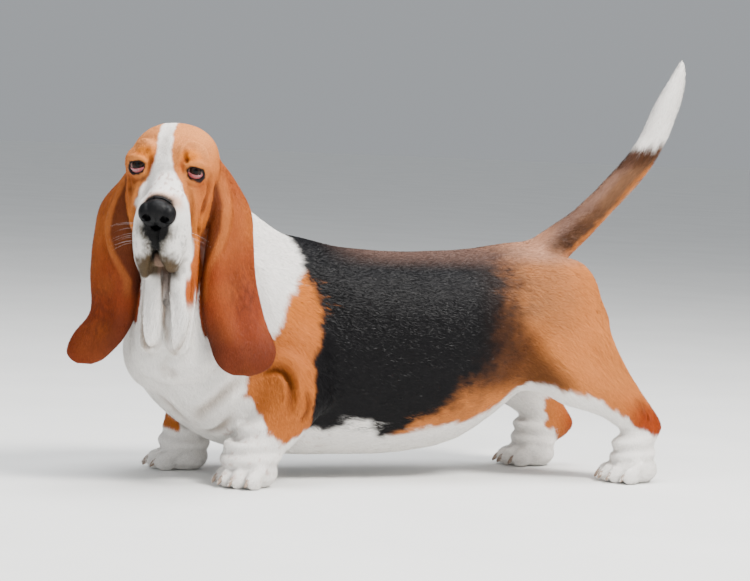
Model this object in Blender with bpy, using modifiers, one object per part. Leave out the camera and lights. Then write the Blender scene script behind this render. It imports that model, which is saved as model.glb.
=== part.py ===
"""Basset hound, a still life-size model that stands on its four feet with its head turned to its left.

Metres, +Z up. The hound faces -X and its left side is -Y. The flesh is modelled whole from lofted
forms, turned into one skin with a voxel remesh, shaped round the eyes and parted with thin cuts.
"""

import math
from collections import namedtuple

import bmesh
import bpy
import numpy as np
from mathutils import Matrix, Vector

# Driving dimensions of the animal.
WITHERS_HEIGHT = 0.366
CHEST_HALF_WIDTH = 0.122
EYEBALL_RADIUS = 0.0125
EYE_SPACING = 0.081
EYE_OFFSET = -0.0025
EAR_THICKNESS = 0.0058
TAIL_ROOT_RADIUS = 0.027
PAW_LENGTH = 0.092
PAW_WIDTH = 0.082

# The head's own frame: x runs along the muzzle, y to the hound's left, z up, from between the eyes.
HEAD_CENTRE = Vector((-0.446, -0.145, 0.466))
HEAD_TURN = math.radians(59)
HEAD_DROOP = math.radians(17)
HEAD_TILT = math.radians(3.5)

# Where the eyeballs sit in the head's frame, and how their lids open round their axes, in degrees.
EYE_DEPTH = 0.0010
EYE_HEIGHT = -0.002
EYE_TURN = 13
LID_SPREAD = 66
LID_RISE = 38
LID_DROP = 50
LID_RADIUS = 0.0027

# Working sizes of the modelling.
GAP = 0.0003
VOXEL = 0.0022
RING_POINTS = 36
SMOOTH_BODY = 170
SMOOTH_ALL = 5
FACES_BODY = 3300
FACES_LEGS = 2500
FACES_HEAD = 2700
FACES_TAIL = 360
FACES_FLESH = 7300

Station = namedtuple("Station", "along top bottom half_width offset", defaults=(0.0,))
Stop = namedtuple("Stop", "x y z across deep")


def hang_matrix():
    """A level frame at the head: x forward, y to the hound's left, z straight up."""
    forward = Vector((-math.cos(HEAD_TURN), -math.sin(HEAD_TURN), 0))
    left = Vector((math.sin(HEAD_TURN), -math.cos(HEAD_TURN), 0))
    turned = Matrix((forward, left, Vector((0, 0, 1)))).transposed().to_4x4()
    return Matrix.Translation(HEAD_CENTRE) @ turned


def head_matrix():
    """The head's frame in the world, from its turn, droop and tilt."""
    forward = Vector((-math.cos(HEAD_TURN) * math.cos(HEAD_DROOP),
                      -math.sin(HEAD_TURN) * math.cos(HEAD_DROOP),
                      -math.sin(HEAD_DROOP)))
    level_left = Vector((math.sin(HEAD_TURN), -math.cos(HEAD_TURN), 0))
    level_up = forward.cross(level_left)
    up = level_up * math.cos(HEAD_TILT) + level_left * math.sin(HEAD_TILT)
    left = level_left * math.cos(HEAD_TILT) - level_up * math.sin(HEAD_TILT)
    turned = Matrix((forward, left, up)).transposed().to_4x4()
    return Matrix.Translation(HEAD_CENTRE) @ turned


HEAD = head_matrix()
HANG = hang_matrix()
MUZZLE_AT = HEAD @ Matrix.Translation((0, 0.004, -0.007))
BODY = Matrix.Identity(4)


def clear_scene():
    """Removes whatever the scene holds."""
    for obj in list(bpy.data.objects):
        bpy.data.objects.remove(obj)


def spline(stops, count):
    """A smooth run through the stops, as count rows of their values."""
    rows = np.array(stops, float)
    padded = np.vstack([2 * rows[0] - rows[1], rows, 2 * rows[-1] - rows[-2]])
    out = []
    for u in np.linspace(0, len(rows) - 1, count):
        i = min(int(u), len(rows) - 2)
        t = u - i
        a, b, c, d = padded[i:i + 4]
        out.append(0.5 * (2 * b + (c - a) * t + (2 * a - 5 * b + 4 * c - d) * t ** 2
                          + (3 * b - a - 3 * c + d) * t ** 3))
    return np.array(out)


def superellipse(half_width, rise, drop, fullness=2.3):
    """Points round a section: across and up, with its own height above and below its widest line."""
    points = []
    for k in range(RING_POINTS):
        a = 2 * math.pi * k / RING_POINTS
        c, s = math.cos(a), math.sin(a)
        across = half_width * math.copysign(abs(c) ** (2 / fullness), c)
        height = (rise if s > 0 else drop) * math.copysign(abs(s) ** (2 / fullness), s)
        points.append((across, height))
    return points


class Clay:
    """Closed forms that overlap, gathered until one mesh is made of them."""

    def __init__(self):
        self.points = []
        self.faces = []

    def add(self, points, faces):
        start = len(self.points)
        self.points.extend(points)
        self.faces.extend([start + i for i in face] for face in faces)

    def to_object(self, name):
        mesh = bpy.data.meshes.new(name)
        mesh.from_pydata(self.points, [], self.faces)
        obj = bpy.data.objects.new(name, mesh)
        bpy.context.scene.collection.objects.link(obj)
        return obj


def unit_sphere():
    """The points and faces of a sphere of radius 1."""
    ball = bmesh.new()
    bmesh.ops.create_uvsphere(ball, u_segments=28, v_segments=16, radius=1)
    ball.verts.index_update()
    points = [v.co.copy() for v in ball.verts]
    faces = [[v.index for v in face.verts] for face in ball.faces]
    ball.free()
    return points, faces


SPHERE = unit_sphere()


def add_loft(clay, rings):
    """Skins a run of rings into a closed form."""
    size = len(rings[0])
    faces = [list(range(size))[::-1], [(len(rings) - 1) * size + k for k in range(size)]]
    for row in range(len(rings) - 1):
        for k in range(size):
            n = (k + 1) % size
            faces.append([row * size + k, row * size + n, (row + 1) * size + n, (row + 1) * size + k])
    clay.add([p for ring in rings for p in ring], faces)


def add_barrel(clay, stations, frame, widest=0.5, fullness=2.3, count=40):
    """A form lofted along x from stations, its widest line at a share of its height."""
    rings = []
    for along, top, bottom, half_width, offset in spline(stations, count):
        middle = bottom + (top - bottom) * widest
        ring = superellipse(max(half_width, 0.002), max(top - middle, 0.001),
                            max(middle - bottom, 0.001), fullness)
        rings.append([frame @ Vector((along, offset + a, middle + h)) for a, h in ring])
    add_loft(clay, rings)


def add_tube(clay, stops, frame, count=28, fullness=2.0, across_hint=(0, 1, 0)):
    """A limb-like form along a smooth path, with rounded ends."""
    rows = spline(stops, count)
    centres = [Vector(r[:3]) for r in rows]
    rings = []

    def ring(centre, tangent, across, deep):
        side = Vector(across_hint) - tangent * tangent.dot(Vector(across_hint))
        side.normalize()
        up = tangent.cross(side)
        return [frame @ (centre + side * a + up * h)
                for a, h in superellipse(across, deep, deep, fullness)]

    def cap(index, sign):
        tangent = (centres[1] - centres[0]) if index == 0 else (centres[-1] - centres[-2])
        tangent.normalize()
        across, deep = rows[index][3:5]
        for step in (0.35, 0.7, 0.93):
            grow = math.sqrt(1 - step ** 2)
            yield ring(centres[index] + tangent * (sign * step * min(across, deep)),
                       tangent, across * grow, deep * grow)

    rings.extend(reversed(list(cap(0, -1))))
    for i, row in enumerate(rows):
        before, after = centres[max(i - 1, 0)], centres[min(i + 1, len(rows) - 1)]
        tangent = (after - before).normalized()
        rings.append(ring(centres[i], tangent, row[3], row[4]))
    rings.extend(cap(-1, 1))
    add_loft(clay, rings)


def add_blob(clay, centre, radii, frame, turn=(0, 0, 0)):
    """An ellipsoid, its turn in degrees about x, y and z."""
    angles = [math.radians(a) for a in turn]
    spin = Matrix.Rotation(angles[2], 4, "Z") @ Matrix.Rotation(angles[1], 4, "Y") \
        @ Matrix.Rotation(angles[0], 4, "X")
    placed = frame @ Matrix.Translation(centre) @ spin @ Matrix.Diagonal((*radii, 1))
    points, faces = SPHERE
    clay.add([placed @ p for p in points], faces)


# Stations and stops, in metres along the body's length from the middle of the stance.
TORSO = [
    Station(-0.438, 0.250, 0.190, 0.050, -0.020),
    Station(-0.424, 0.290, 0.150, 0.090, -0.014),
    Station(-0.382, 0.322, 0.100, 0.112, -0.006),
    Station(-0.310, 0.350, 0.056, 0.120, -0.002),
    Station(-0.240, 0.366, 0.040, 0.122),
    Station(-0.190, WITHERS_HEIGHT, 0.035, 0.120),
    Station(-0.120, 0.352, 0.034, 0.120),
    Station(-0.020, 0.346, 0.036, CHEST_HALF_WIDTH),
    Station(0.070, 0.349, 0.050, 0.119),
    Station(0.130, 0.355, 0.080, 0.110),
    Station(0.190, 0.364, 0.126, 0.099),
    Station(0.232, 0.362, 0.158, 0.098),
    Station(0.270, 0.335, 0.175, 0.088),
    Station(0.296, 0.283, 0.195, 0.062),
    Station(0.308, 0.254, 0.213, 0.030),
]
NECK = [
    Stop(-0.225, 0.000, 0.255, 0.100, 0.108),
    Stop(-0.288, -0.006, 0.320, 0.084, 0.084),
    Stop(-0.342, -0.034, 0.378, 0.068, 0.062),
    Stop(-0.390, -0.082, 0.432, 0.057, 0.050),
]
TAIL = [
    Stop(0.210, 0, 0.324, 0.034, 0.034),
    Stop(0.262, 0, 0.361, TAIL_ROOT_RADIUS, 0.0315),
    Stop(0.330, 0, 0.418, 0.0200, 0.0245),
    Stop(0.412, 0, 0.505, 0.0182, 0.0220),
    Stop(0.450, 0, 0.583, 0.0175, 0.0205),
    Stop(0.468, 0, 0.626, 0.0122, 0.0140),
    Stop(0.4755, 0, 0.661, 0.0045, 0.0050),
]
SKULL = [
    Station(-0.128, 0.004, -0.035, 0.020),
    Station(-0.122, 0.018, -0.055, 0.038),
    Station(-0.098, 0.034, -0.065, 0.055),
    Station(-0.060, 0.045, -0.072, 0.064),
    Station(-0.028, 0.044, -0.080, 0.062),
    Station(-0.008, 0.036, -0.085, 0.048),
    Station(0.005, 0.023, -0.088, 0.033),
    Station(0.018, 0.008, -0.090, 0.026),
]
MUZZLE = [
    Station(-0.014, 0.024, -0.090, 0.030),
    Station(0.018, 0.006, -0.092, 0.0275),
    Station(0.052, -0.002, -0.092, 0.0260),
    Station(0.085, -0.005, -0.088, 0.0250),
    Station(0.103, -0.011, -0.080, 0.0215),
    Station(0.111, -0.020, -0.070, 0.0140),
]
JAW = [
    Station(-0.030, -0.086, -0.112, 0.016),
    Station(-0.015, -0.082, -0.118, 0.022),
    Station(0.030, -0.086, -0.124, 0.021),
    Station(0.065, -0.090, -0.122, 0.018),
    Station(0.084, -0.094, -0.114, 0.013),
    Station(0.090, -0.099, -0.108, 0.006),
]

def add_torso(clay):
    """Barrel, neck, shoulders, haunches and tail."""
    add_barrel(clay, TORSO, BODY, widest=0.52, fullness=2.25, count=60)
    add_tube(clay, NECK, BODY, across_hint=(0.35, 0.94, 0))
    add_tube(clay, TAIL, BODY, count=44)
    for side in (-1, 1):
        add_blob(clay, (-0.262, 0.082 * side, 0.225), (0.072, 0.046, 0.125), BODY, (0, -20, 0))
        add_blob(clay, (-0.322, 0.076 * side, 0.180), (0.070, 0.048, 0.080), BODY, (0, 10, 0))
        add_blob(clay, (0.228, 0.064 * side, 0.240), (0.080, 0.046, 0.112), BODY, (0, 22, 0))
    add_blob(clay, (-0.400, -0.015, 0.200), (0.050, 0.080, 0.070), BODY, (0, 12, 0))
    add_blob(clay, (-0.240, -0.002, 0.325), (0.070, 0.060, 0.046), BODY, (0, 28, 0))


def add_dewlap(clay):
    """The two long folds that hang from the throat, and the loose skin behind them."""
    for top_y, low_y in ((-0.011, -0.017), (0.028, 0.021)):
        add_tube(clay, [
            Stop(-0.016, top_y, -0.085, 0.0150, 0.024),
            Stop(-0.014, top_y, -0.130, 0.0175, 0.027),
            Stop(-0.012, (top_y + low_y) / 2, -0.192, 0.0190, 0.030),
            Stop(-0.012, low_y, -0.254, 0.0180, 0.028),
        ], HANG, count=20)
    add_tube(clay, [
        Stop(-0.070, 0.006, -0.060, 0.046, 0.044),
        Stop(-0.070, 0.004, -0.130, 0.050, 0.046),
        Stop(-0.068, 0.006, -0.200, 0.066, 0.050),
        Stop(-0.070, 0.010, -0.270, 0.070, 0.050),
    ], HANG)


ForeLeg = namedtuple("ForeLeg", "side elbow wrist paw splay bow loose")
HindLeg = namedtuple("HindLeg", "side stifle hock heel paw splay")
FORE_LEGS = [
    ForeLeg(-1, (-0.220, -0.116, 0.125), (-0.272, -0.106, 0.060), (-0.286, -0.112, 0.0), 24, 0.002, 0.009),
    ForeLeg(1, (-0.256, 0.108, 0.128), (-0.306, 0.092, 0.060), (-0.316, 0.096, 0.0), -20, 0.020, 0.002),
]
HIND_LEGS = [
    HindLeg(-1, (0.215, -0.094, 0.150), (0.379, -0.104, 0.092), (0.363, -0.106, 0.045),
            (0.358, -0.108, 0.0), 8),
    HindLeg(1, (0.180, 0.094, 0.145), (0.332, 0.100, 0.074), (0.297, 0.102, 0.042),
            (0.288, 0.103, 0.0), -8),
]


def add_paw(clay, place, splay):
    """A paw: its pad, four toes and their claws, pointing forward and turned out by splay degrees."""
    frame = Matrix.Translation(place) @ Matrix.Rotation(math.radians(180 + splay), 4, "Z")
    add_blob(clay, (-0.004, 0, 0.020), (PAW_LENGTH * 0.42, PAW_WIDTH * 0.44, 0.025), frame)
    for spread in (-1.5, -0.5, 0.5, 1.5):
        inner = abs(spread) < 1
        reach = PAW_LENGTH * (0.37 if inner else 0.25)
        y = spread * PAW_WIDTH * 0.245
        turn = spread * 7
        add_blob(clay, (reach, y, 0.013), (PAW_LENGTH * 0.19, PAW_WIDTH * 0.128, 0.0160), frame,
                 (0, 0, turn))
        add_blob(clay, (reach - 0.016, y * 0.92, 0.026), (0.018, 0.0095, 0.0110), frame, (0, 20, turn))
        add_tube(clay, [
            Stop(reach + 0.012, y * 1.05, 0.0150, 0.0044, 0.0048),
            Stop(reach + 0.020, y * 1.10, 0.0110, 0.0034, 0.0038),
            Stop(reach + 0.0255, y * 1.13, 0.0050, 0.0020, 0.0022),
        ], frame, count=6)


def add_ring_fold(clay, centre, radii, thick):
    """A fold of loose skin that runs round a leg."""
    stops = []
    for k in range(13):
        a = 2 * math.pi * k / 12
        stops.append(Stop(centre[0] + radii[0] * math.cos(a), centre[1] + radii[1] * math.sin(a),
                          centre[2] + 0.004 * math.sin(a + centre[0] * 40), thick, thick))
    add_tube(clay, stops, BODY, count=36, across_hint=(0, 0, 1))


def add_fore_leg(clay, leg):
    """Upper arm, forearm with its loose skin, and paw."""
    elbow, wrist, paw = Vector(leg.elbow), Vector(leg.wrist), Vector(leg.paw)
    add_tube(clay, [
        Stop(elbow.x + 0.006, elbow.y - 0.022 * leg.side, elbow.z + 0.085, 0.042, 0.064),
        Stop(elbow.x - 0.004, elbow.y - 0.002 * leg.side, elbow.z + 0.012, 0.036, 0.052),
        Stop((elbow.x + wrist.x) / 2 - leg.bow, (elbow.y + wrist.y) / 2, 0.090, 0.033, 0.040),
        Stop(wrist.x, wrist.y, wrist.z, 0.031, 0.033),
        Stop(wrist.x - 0.006, wrist.y + 0.003 * leg.side, 0.032, 0.032, 0.032),
    ], BODY)
    add_blob(clay, (elbow.x + 0.034, elbow.y - 0.002 * leg.side, elbow.z + 0.006),
             (0.026, 0.022, 0.028), BODY)
    add_ring_fold(clay, (wrist.x + 0.004, wrist.y, 0.088), (0.028 + leg.loose / 2, 0.026), 0.0085)
    add_ring_fold(clay, (wrist.x - 0.002 - leg.loose, wrist.y, 0.064), (0.028 + leg.loose, 0.028), 0.0088)
    add_ring_fold(clay, (wrist.x - 0.004 - leg.loose, wrist.y + 0.002 * leg.side, 0.043),
                  (0.030 + leg.loose, 0.030), 0.0090)
    add_paw(clay, paw, leg.splay)


def add_hind_leg(clay, leg):
    """Thigh, shank, hock, rear pastern and paw."""
    stifle, hock, heel, paw = (Vector(p) for p in (leg.stifle, leg.hock, leg.heel, leg.paw))
    add_tube(clay, [
        Stop(0.246, 0.060 * leg.side, 0.255, 0.042, 0.086),
        Stop((0.262 + stifle.x) / 2 + 0.006, 0.078 * leg.side, 0.205, 0.041, 0.080),
        Stop(stifle.x + 0.038, stifle.y, stifle.z + 0.011, 0.036, 0.049),
        Stop(stifle.x * 0.45 + hock.x * 0.55 + 0.004, hock.y, stifle.z * 0.4 + hock.z * 0.6 + 0.016,
             0.029, 0.032),
        Stop(hock.x - 0.002, hock.y, hock.z, 0.024, 0.030),
    ], BODY)
    add_blob(clay, (hock.x + 0.014, hock.y, hock.z - 0.004), (0.020, 0.018, 0.018), BODY, (0, 30, 0))
    add_tube(clay, [
        Stop(0.262, 0.070 * leg.side, 0.262, 0.034, 0.046),
        Stop(hock.x - 0.090, 0.080 * leg.side, 0.205, 0.034, 0.042),
        Stop(hock.x - 0.052, 0.090 * leg.side, 0.152, 0.028, 0.034),
        Stop(hock.x - 0.012, hock.y, 0.112, 0.020, 0.024),
    ], BODY)
    add_tube(clay, [
        Stop(hock.x, hock.y, hock.z - 0.004, 0.024, 0.029),
        Stop(heel.x, heel.y, heel.z + 0.012, 0.026, 0.028),
        Stop(heel.x - 0.006, heel.y, 0.030, 0.030, 0.029),
    ], BODY, count=12)
    add_ring_fold(clay, (heel.x - 0.004, heel.y, 0.064), (0.029, 0.023), 0.0082)
    add_ring_fold(clay, (heel.x - 0.003, heel.y, 0.042), (0.030, 0.025), 0.0082)
    add_paw(clay, paw, leg.splay)


def eye_middle(side):
    """The eyeball's middle in the head's frame, the hound's left being +1."""
    return Vector((EYE_DEPTH, side * EYE_SPACING / 2 + EYE_OFFSET, EYE_HEIGHT))


def round_eye(side, across, rise, reach):
    """A point at a reach from the eyeball's middle, its way given in degrees out and up."""
    out = math.radians(EYE_TURN + across)
    up = math.radians(rise)
    way = Vector((math.cos(out) * math.cos(up), side * math.sin(out) * math.cos(up), math.sin(up)))
    return eye_middle(side) + way * reach


def add_lids(clay, side):
    """The heavy upper lid, the drooping lower lid and the flesh that carries them."""
    add_blob(clay, eye_middle(side) + Vector((-0.0080, 0.002 * side, -0.001)),
             (0.0145, 0.0220, 0.0200), HEAD)
    for rise, radius in ((LID_RISE, LID_RADIUS * 1.15), (-LID_DROP, LID_RADIUS)):
        stops = []
        for k in range(9):
            a = math.pi * k / 8
            across = LID_SPREAD * math.cos(a)
            sag = -7 if across > 0 else 0
            p = round_eye(side, across, rise * math.sin(a) ** 0.8 + sag * abs(math.cos(a)),
                          EYEBALL_RADIUS + 0.0012)
            stops.append(Stop(*p, radius, radius))
        add_tube(clay, stops, HEAD, count=20, across_hint=(1, 0, 0.1))
    brow = [Stop(*round_eye(side, 58 * math.cos(math.pi * k / 6), 30 + 30 * math.sin(math.pi * k / 6),
                            EYEBALL_RADIUS + 0.0035), 0.0045, 0.0045) for k in range(7)]
    add_tube(clay, brow, HEAD, count=18, across_hint=(1, 0, 0.1))
    pouch = [Stop(*round_eye(side, 50 * math.cos(math.pi * k / 6), -34 - 36 * math.sin(math.pi * k / 6),
                             EYEBALL_RADIUS + 0.0030), 0.0040, 0.0040) for k in range(7)]
    add_tube(clay, pouch, HEAD, count=18, across_hint=(1, 0, 0.1))


def add_head(clay):
    """Skull, muzzle, cheeks, brows, lids and the hanging flews."""
    add_barrel(clay, SKULL, HEAD, widest=0.52, fullness=2.15)
    add_barrel(clay, MUZZLE, MUZZLE_AT, widest=0.55, fullness=2.5)
    for side in (-1, 1):
        low = 0.010 if side < 0 else -0.004
        add_blob(clay, (0.064, 0.0210 * side, -0.070 - low), (0.040, 0.0180, 0.062), MUZZLE_AT,
                 (-2 * side, 8, 0))
        add_blob(clay, (0.086, 0.0150 * side, -0.057), (0.023, 0.0180, 0.042), MUZZLE_AT, (0, -8, 0))
        add_blob(clay, (0.036, 0.0235 * side, -0.088 - low), (0.040, 0.0145, 0.044), MUZZLE_AT,
                 (-2 * side, 14, 0))
        add_blob(clay, (-0.008, 0.0325 * side, -0.064), (0.042, 0.0185, 0.054), HEAD,
                 (2 * side, 0, 11 * side))
        add_blob(clay, (-0.034, 0.0440 * side, -0.052), (0.048, 0.0215, 0.060), HEAD, (2 * side, 0, 0))
        add_blob(clay, (-0.034, 0.0480 * side, -0.016), (0.036, 0.0200, 0.034), HEAD)
        add_blob(clay, (-0.008, 0.0310 * side, 0.016), (0.016, 0.020, 0.014), HEAD, (12 * side, 0, 0))
        add_lids(clay, side)


def flesh_object():
    """All the clay as one object, before its skin is made."""
    clay = Clay()
    add_torso(clay)
    add_head(clay)
    add_dewlap(clay)
    for leg in FORE_LEGS:
        add_fore_leg(clay, leg)
    for leg in HIND_LEGS:
        add_hind_leg(clay, leg)
    return clay.to_object("flesh")


def evaluated(obj):
    """Applies the object's modifiers."""
    bpy.context.view_layer.update()
    graph = bpy.context.evaluated_depsgraph_get()
    mesh = bpy.data.meshes.new_from_object(obj.evaluated_get(graph))
    obj.modifiers.clear()
    obj.data = mesh
    return obj


def points_of(obj):
    """The object's points as rows."""
    rows = np.empty(len(obj.data.vertices) * 3)
    obj.data.vertices.foreach_get("co", rows)
    return rows.reshape(-1, 3)


def in_head(points):
    """The points in the head's own frame."""
    back = np.array(HEAD.inverted())
    return points @ back[:3, :3].T + back[:3, 3]


def regions(obj):
    """For each point, which region it is in: head, tail, legs or body."""
    points = points_of(obj)
    near = in_head(points)
    head = (near @ np.array([0.674, 0, 0.739]) > -0.079) & (near[:, 0] > -0.16) & (near[:, 2] > -0.20)
    tail = (points[:, 0] > 0.27) & (points[:, 2] > 0.345)
    low = (points[:, 2] < 0.105) & (np.abs(points[:, 1]) > 0.055) \
        & ((points[:, 0] < -0.165) | (points[:, 0] > 0.20))
    body = ~(head | tail | low)
    return {"head": head & ~tail, "tail": tail, "legs": low & ~head, "body": body}


def set_group(obj, name, weights):
    """A vertex group with a weight for each point."""
    group = obj.vertex_groups.new(name=name)
    steps = np.round(weights * 10).astype(int)
    for step in range(1, 11):
        chosen = np.nonzero(steps == step)[0]
        if len(chosen):
            group.add(chosen.tolist(), step / 10, "REPLACE")


def softness(obj):
    """How far each point gives way to smoothing: 1 on the body, less on face, paws, tail and folds."""
    points = points_of(obj)
    near = in_head(points)
    from_face = np.linalg.norm((near - [0.03, 0, -0.09]) / [1.0, 1.0, 1.25], axis=1)
    weights = np.clip((from_face - 0.15) / 0.10, 0.24, 1)
    for side in (-1, 1):
        from_eye = np.linalg.norm(near - np.array(eye_middle(side)), axis=1)
        weights *= np.clip((from_eye - 0.020) / 0.012, 0, 1)
    weights *= np.clip((points[:, 2] - 0.045) / 0.07, 0, 1)
    weights[(points[:, 0] > 0.30) & (points[:, 2] > 0.37)] *= 0.25
    return weights


def reduce(obj, name, chosen, faces):
    """Collapses edges among the chosen points until that region has about so many triangles."""
    set_group(obj, name, chosen.astype(float))
    mesh = obj.data
    corners = np.empty(len(mesh.loops), int)
    mesh.loops.foreach_get("vertex_index", corners)
    triangles = corners.reshape(-1, 3)
    inside = int(chosen[triangles].all(axis=1).sum())
    decimate = obj.modifiers.new(name, "DECIMATE")
    decimate.vertex_group = name
    decimate.ratio = 1 - max(inside - faces, 0) / len(triangles)
    evaluated(obj)
    obj.vertex_groups.clear()


def triangulate(obj):
    """Splits every face into triangles."""
    modifier = obj.modifiers.new("triangles", "TRIANGULATE")
    modifier.quad_method = "SHORTEST_DIAGONAL"
    return evaluated(obj)


def keep_largest(obj):
    """Leaves the largest closed surface of the object."""
    shape = bmesh.new()
    shape.from_mesh(obj.data)
    shape.verts.ensure_lookup_table()
    seen = set()
    islands = []
    for start in shape.verts:
        if start in seen:
            continue
        island, front = [], [start]
        seen.add(start)
        while front:
            vert = front.pop()
            island.append(vert)
            for edge in vert.link_edges:
                other = edge.other_vert(vert)
                if other not in seen:
                    seen.add(other)
                    front.append(other)
        islands.append(island)
    islands.sort(key=len)
    for island in islands[:-1]:
        bmesh.ops.delete(shape, geom=island, context="VERTS")
    shape.to_mesh(obj.data)
    shape.free()
    return obj


def boolean(obj, cutter, operation):
    """Cuts, joins or trims the object with a cutter."""
    modifier = obj.modifiers.new("cut", "BOOLEAN")
    modifier.operation = operation
    modifier.solver = "EXACT"
    modifier.object = cutter
    return keep_largest(evaluated(obj))


def remove(obj):
    """Takes an object out of the scene."""
    bpy.data.objects.remove(obj)


def copy_of(obj, name):
    """A copy of the object with its own mesh."""
    copy = bpy.data.objects.new(name, obj.data.copy())
    bpy.context.scene.collection.objects.link(copy)
    return copy


def box(low, high, frame):
    """A box as an object, from its corners in a frame."""
    low, high = Vector(low), Vector(high)
    shape = bmesh.new()
    bmesh.ops.create_cube(shape, size=1)
    bmesh.ops.transform(shape, verts=shape.verts,
                        matrix=frame @ Matrix.Translation((low + high) / 2)
                        @ Matrix.Diagonal((*(high - low), 1)))
    mesh = bpy.data.meshes.new("region")
    shape.to_mesh(mesh)
    shape.free()
    obj = bpy.data.objects.new("region", mesh)
    bpy.context.scene.collection.objects.link(obj)
    return obj


def part_off(skin, name, low, high, frame=BODY):
    """Takes what lies in a box out of the skin, as a node of its own with a thin gap round it."""
    piece = copy_of(skin, name)
    region = box(low, high, frame)
    boolean(piece, region, "INTERSECT")
    remove(region)
    grown = Vector((GAP, GAP, GAP))
    region = box(Vector(low) - grown, Vector(high) + grown, frame)
    boolean(skin, region, "DIFFERENCE")
    remove(region)
    return piece


# The ears as rows from root to tip: height, middle, width along the leather, turn and front curl.
EarRow = namedtuple("EarRow", "up out forward width turn curl")
EAR_LEFT = [
    EarRow(0.016, 0.052, -0.064, 0.052, 88, 0),
    EarRow(-0.018, 0.077, -0.058, 0.064, 76, 50),
    EarRow(-0.060, 0.090, -0.042, 0.080, 52, 110),
    EarRow(-0.110, 0.087, -0.030, 0.090, 36, 140),
    EarRow(-0.160, 0.086, -0.025, 0.098, 26, 140),
    EarRow(-0.215, 0.095, -0.022, 0.107, 18, 110),
    EarRow(-0.255, 0.113, -0.020, 0.104, 14, 70),
    EarRow(-0.277, 0.118, -0.018, 0.086, 12, 30),
    EarRow(-0.289, 0.117, -0.018, 0.060, 10, 10),
    EarRow(-0.296, 0.114, -0.018, 0.024, 10, 0),
]
EAR_RIGHT = [
    EarRow(0.016, 0.052, -0.064, 0.052, 88, 0),
    EarRow(-0.018, 0.072, -0.058, 0.064, 76, 50),
    EarRow(-0.060, 0.092, -0.045, 0.084, 54, 110),
    EarRow(-0.110, 0.087, -0.036, 0.098, 38, 130),
    EarRow(-0.160, 0.082, -0.032, 0.100, 28, 130),
    EarRow(-0.215, 0.081, -0.030, 0.082, 20, 100),
    EarRow(-0.250, 0.100, -0.028, 0.086, 14, 50),
    EarRow(-0.274, 0.113, -0.026, 0.072, 10, 30),
    EarRow(-0.286, 0.116, -0.026, 0.050, 8, 10),
    EarRow(-0.292, 0.116, -0.026, 0.022, 8, 0),
]
EAR_COLUMNS = 12
EAR_LENGTHS = 19


def edge_spaced(count):
    """Places from 0 to 1 that crowd towards both ends, so that an edge can be rounded."""
    return [0.5 - 0.5 * math.cos(math.pi * k / count) for k in range(count + 1)]


def ear_section(row, side):
    """The middle line of the leather at one height, from its rolled front edge to its rear edge."""
    up, out, forward, width, turn, curl = row
    steps = 60
    places = [Vector((0, 0))]
    for k in range(steps):
        s = (k + 0.5) / steps
        heading = math.radians(turn - curl * max(0, 1 - s / 0.45) ** 1.6 + 26 * max(0, s - 0.6) / 0.4)
        places.append(places[-1] + Vector((math.cos(heading), -math.sin(heading))) * (width / steps))
    middle = places[steps // 2]
    line = []
    for s in edge_spaced(EAR_COLUMNS):
        spot = places[round(s * steps)] - middle
        line.append(HANG @ Vector((forward + spot.y, side * (out + spot.x), up)))
    return line


def make_ear(name, rows, side):
    """A long pendulous ear: a leather sheet of even thickness with rounded edges, rolled at the front."""
    even = spline(rows, 8 * EAR_LENGTHS)
    picked = [round((1 - (1 - k / (EAR_LENGTHS - 1)) ** 1.5) * (len(even) - 1)) for k in range(EAR_LENGTHS)]
    lines = [ear_section(even[k], side) for k in picked]
    spots = np.array([[tuple(p) for p in line] for line in lines])
    along = np.gradient(spots, axis=0)
    across = np.gradient(spots, axis=1)
    normals = np.cross(across, along)
    normals /= np.linalg.norm(normals, axis=2, keepdims=True)
    u = np.array(edge_spaced(EAR_COLUMNS))[None, :]
    v = np.linspace(0, 1, EAR_LENGTHS)[:, None]
    rounding = np.sqrt(np.clip(1 - (2 * u - 1) ** 6, 0, 1)) * np.sqrt(np.clip(1 - v ** 24, 0, 1))
    thick = (EAR_THICKNESS / 2) * rounding[..., None]
    rows_count, columns = spots.shape[:2]
    shape = bmesh.new()
    front, back = {}, {}
    for i in range(rows_count):
        for j in range(columns):
            rim = j in (0, columns - 1) or i == rows_count - 1
            front[i, j] = shape.verts.new(spots[i, j] + (0 if rim else 1) * normals[i, j] * thick[i, j])
            back[i, j] = front[i, j] if rim else shape.verts.new(spots[i, j] - normals[i, j] * thick[i, j])
    for sheet, order in ((front, 1), (back, -1)):
        for i in range(rows_count - 1):
            for j in range(columns - 1):
                corners = [sheet[i, j], sheet[i + 1, j], sheet[i + 1, j + 1], sheet[i, j + 1]][::order]
                shape.faces.new(corners)
    shape.faces.new([front[0, j] for j in range(columns)] + [back[0, j] for j in range(columns - 2, 0, -1)])
    bmesh.ops.recalc_face_normals(shape, faces=shape.faces)
    bmesh.ops.triangulate(shape, faces=shape.faces)
    mesh = bpy.data.meshes.new(name)
    shape.to_mesh(mesh)
    shape.free()
    obj = bpy.data.objects.new(name, mesh)
    bpy.context.scene.collection.objects.link(obj)
    return obj


def make_ball(name, centre, radius, cuts=3):
    """A round piece with its middle at a point."""
    shape = bmesh.new()
    bmesh.ops.create_icosphere(shape, subdivisions=cuts, radius=radius,
                               matrix=Matrix.Translation(centre))
    mesh = bpy.data.meshes.new(name)
    shape.to_mesh(mesh)
    shape.free()
    obj = bpy.data.objects.new(name, mesh)
    bpy.context.scene.collection.objects.link(obj)
    return obj


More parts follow.
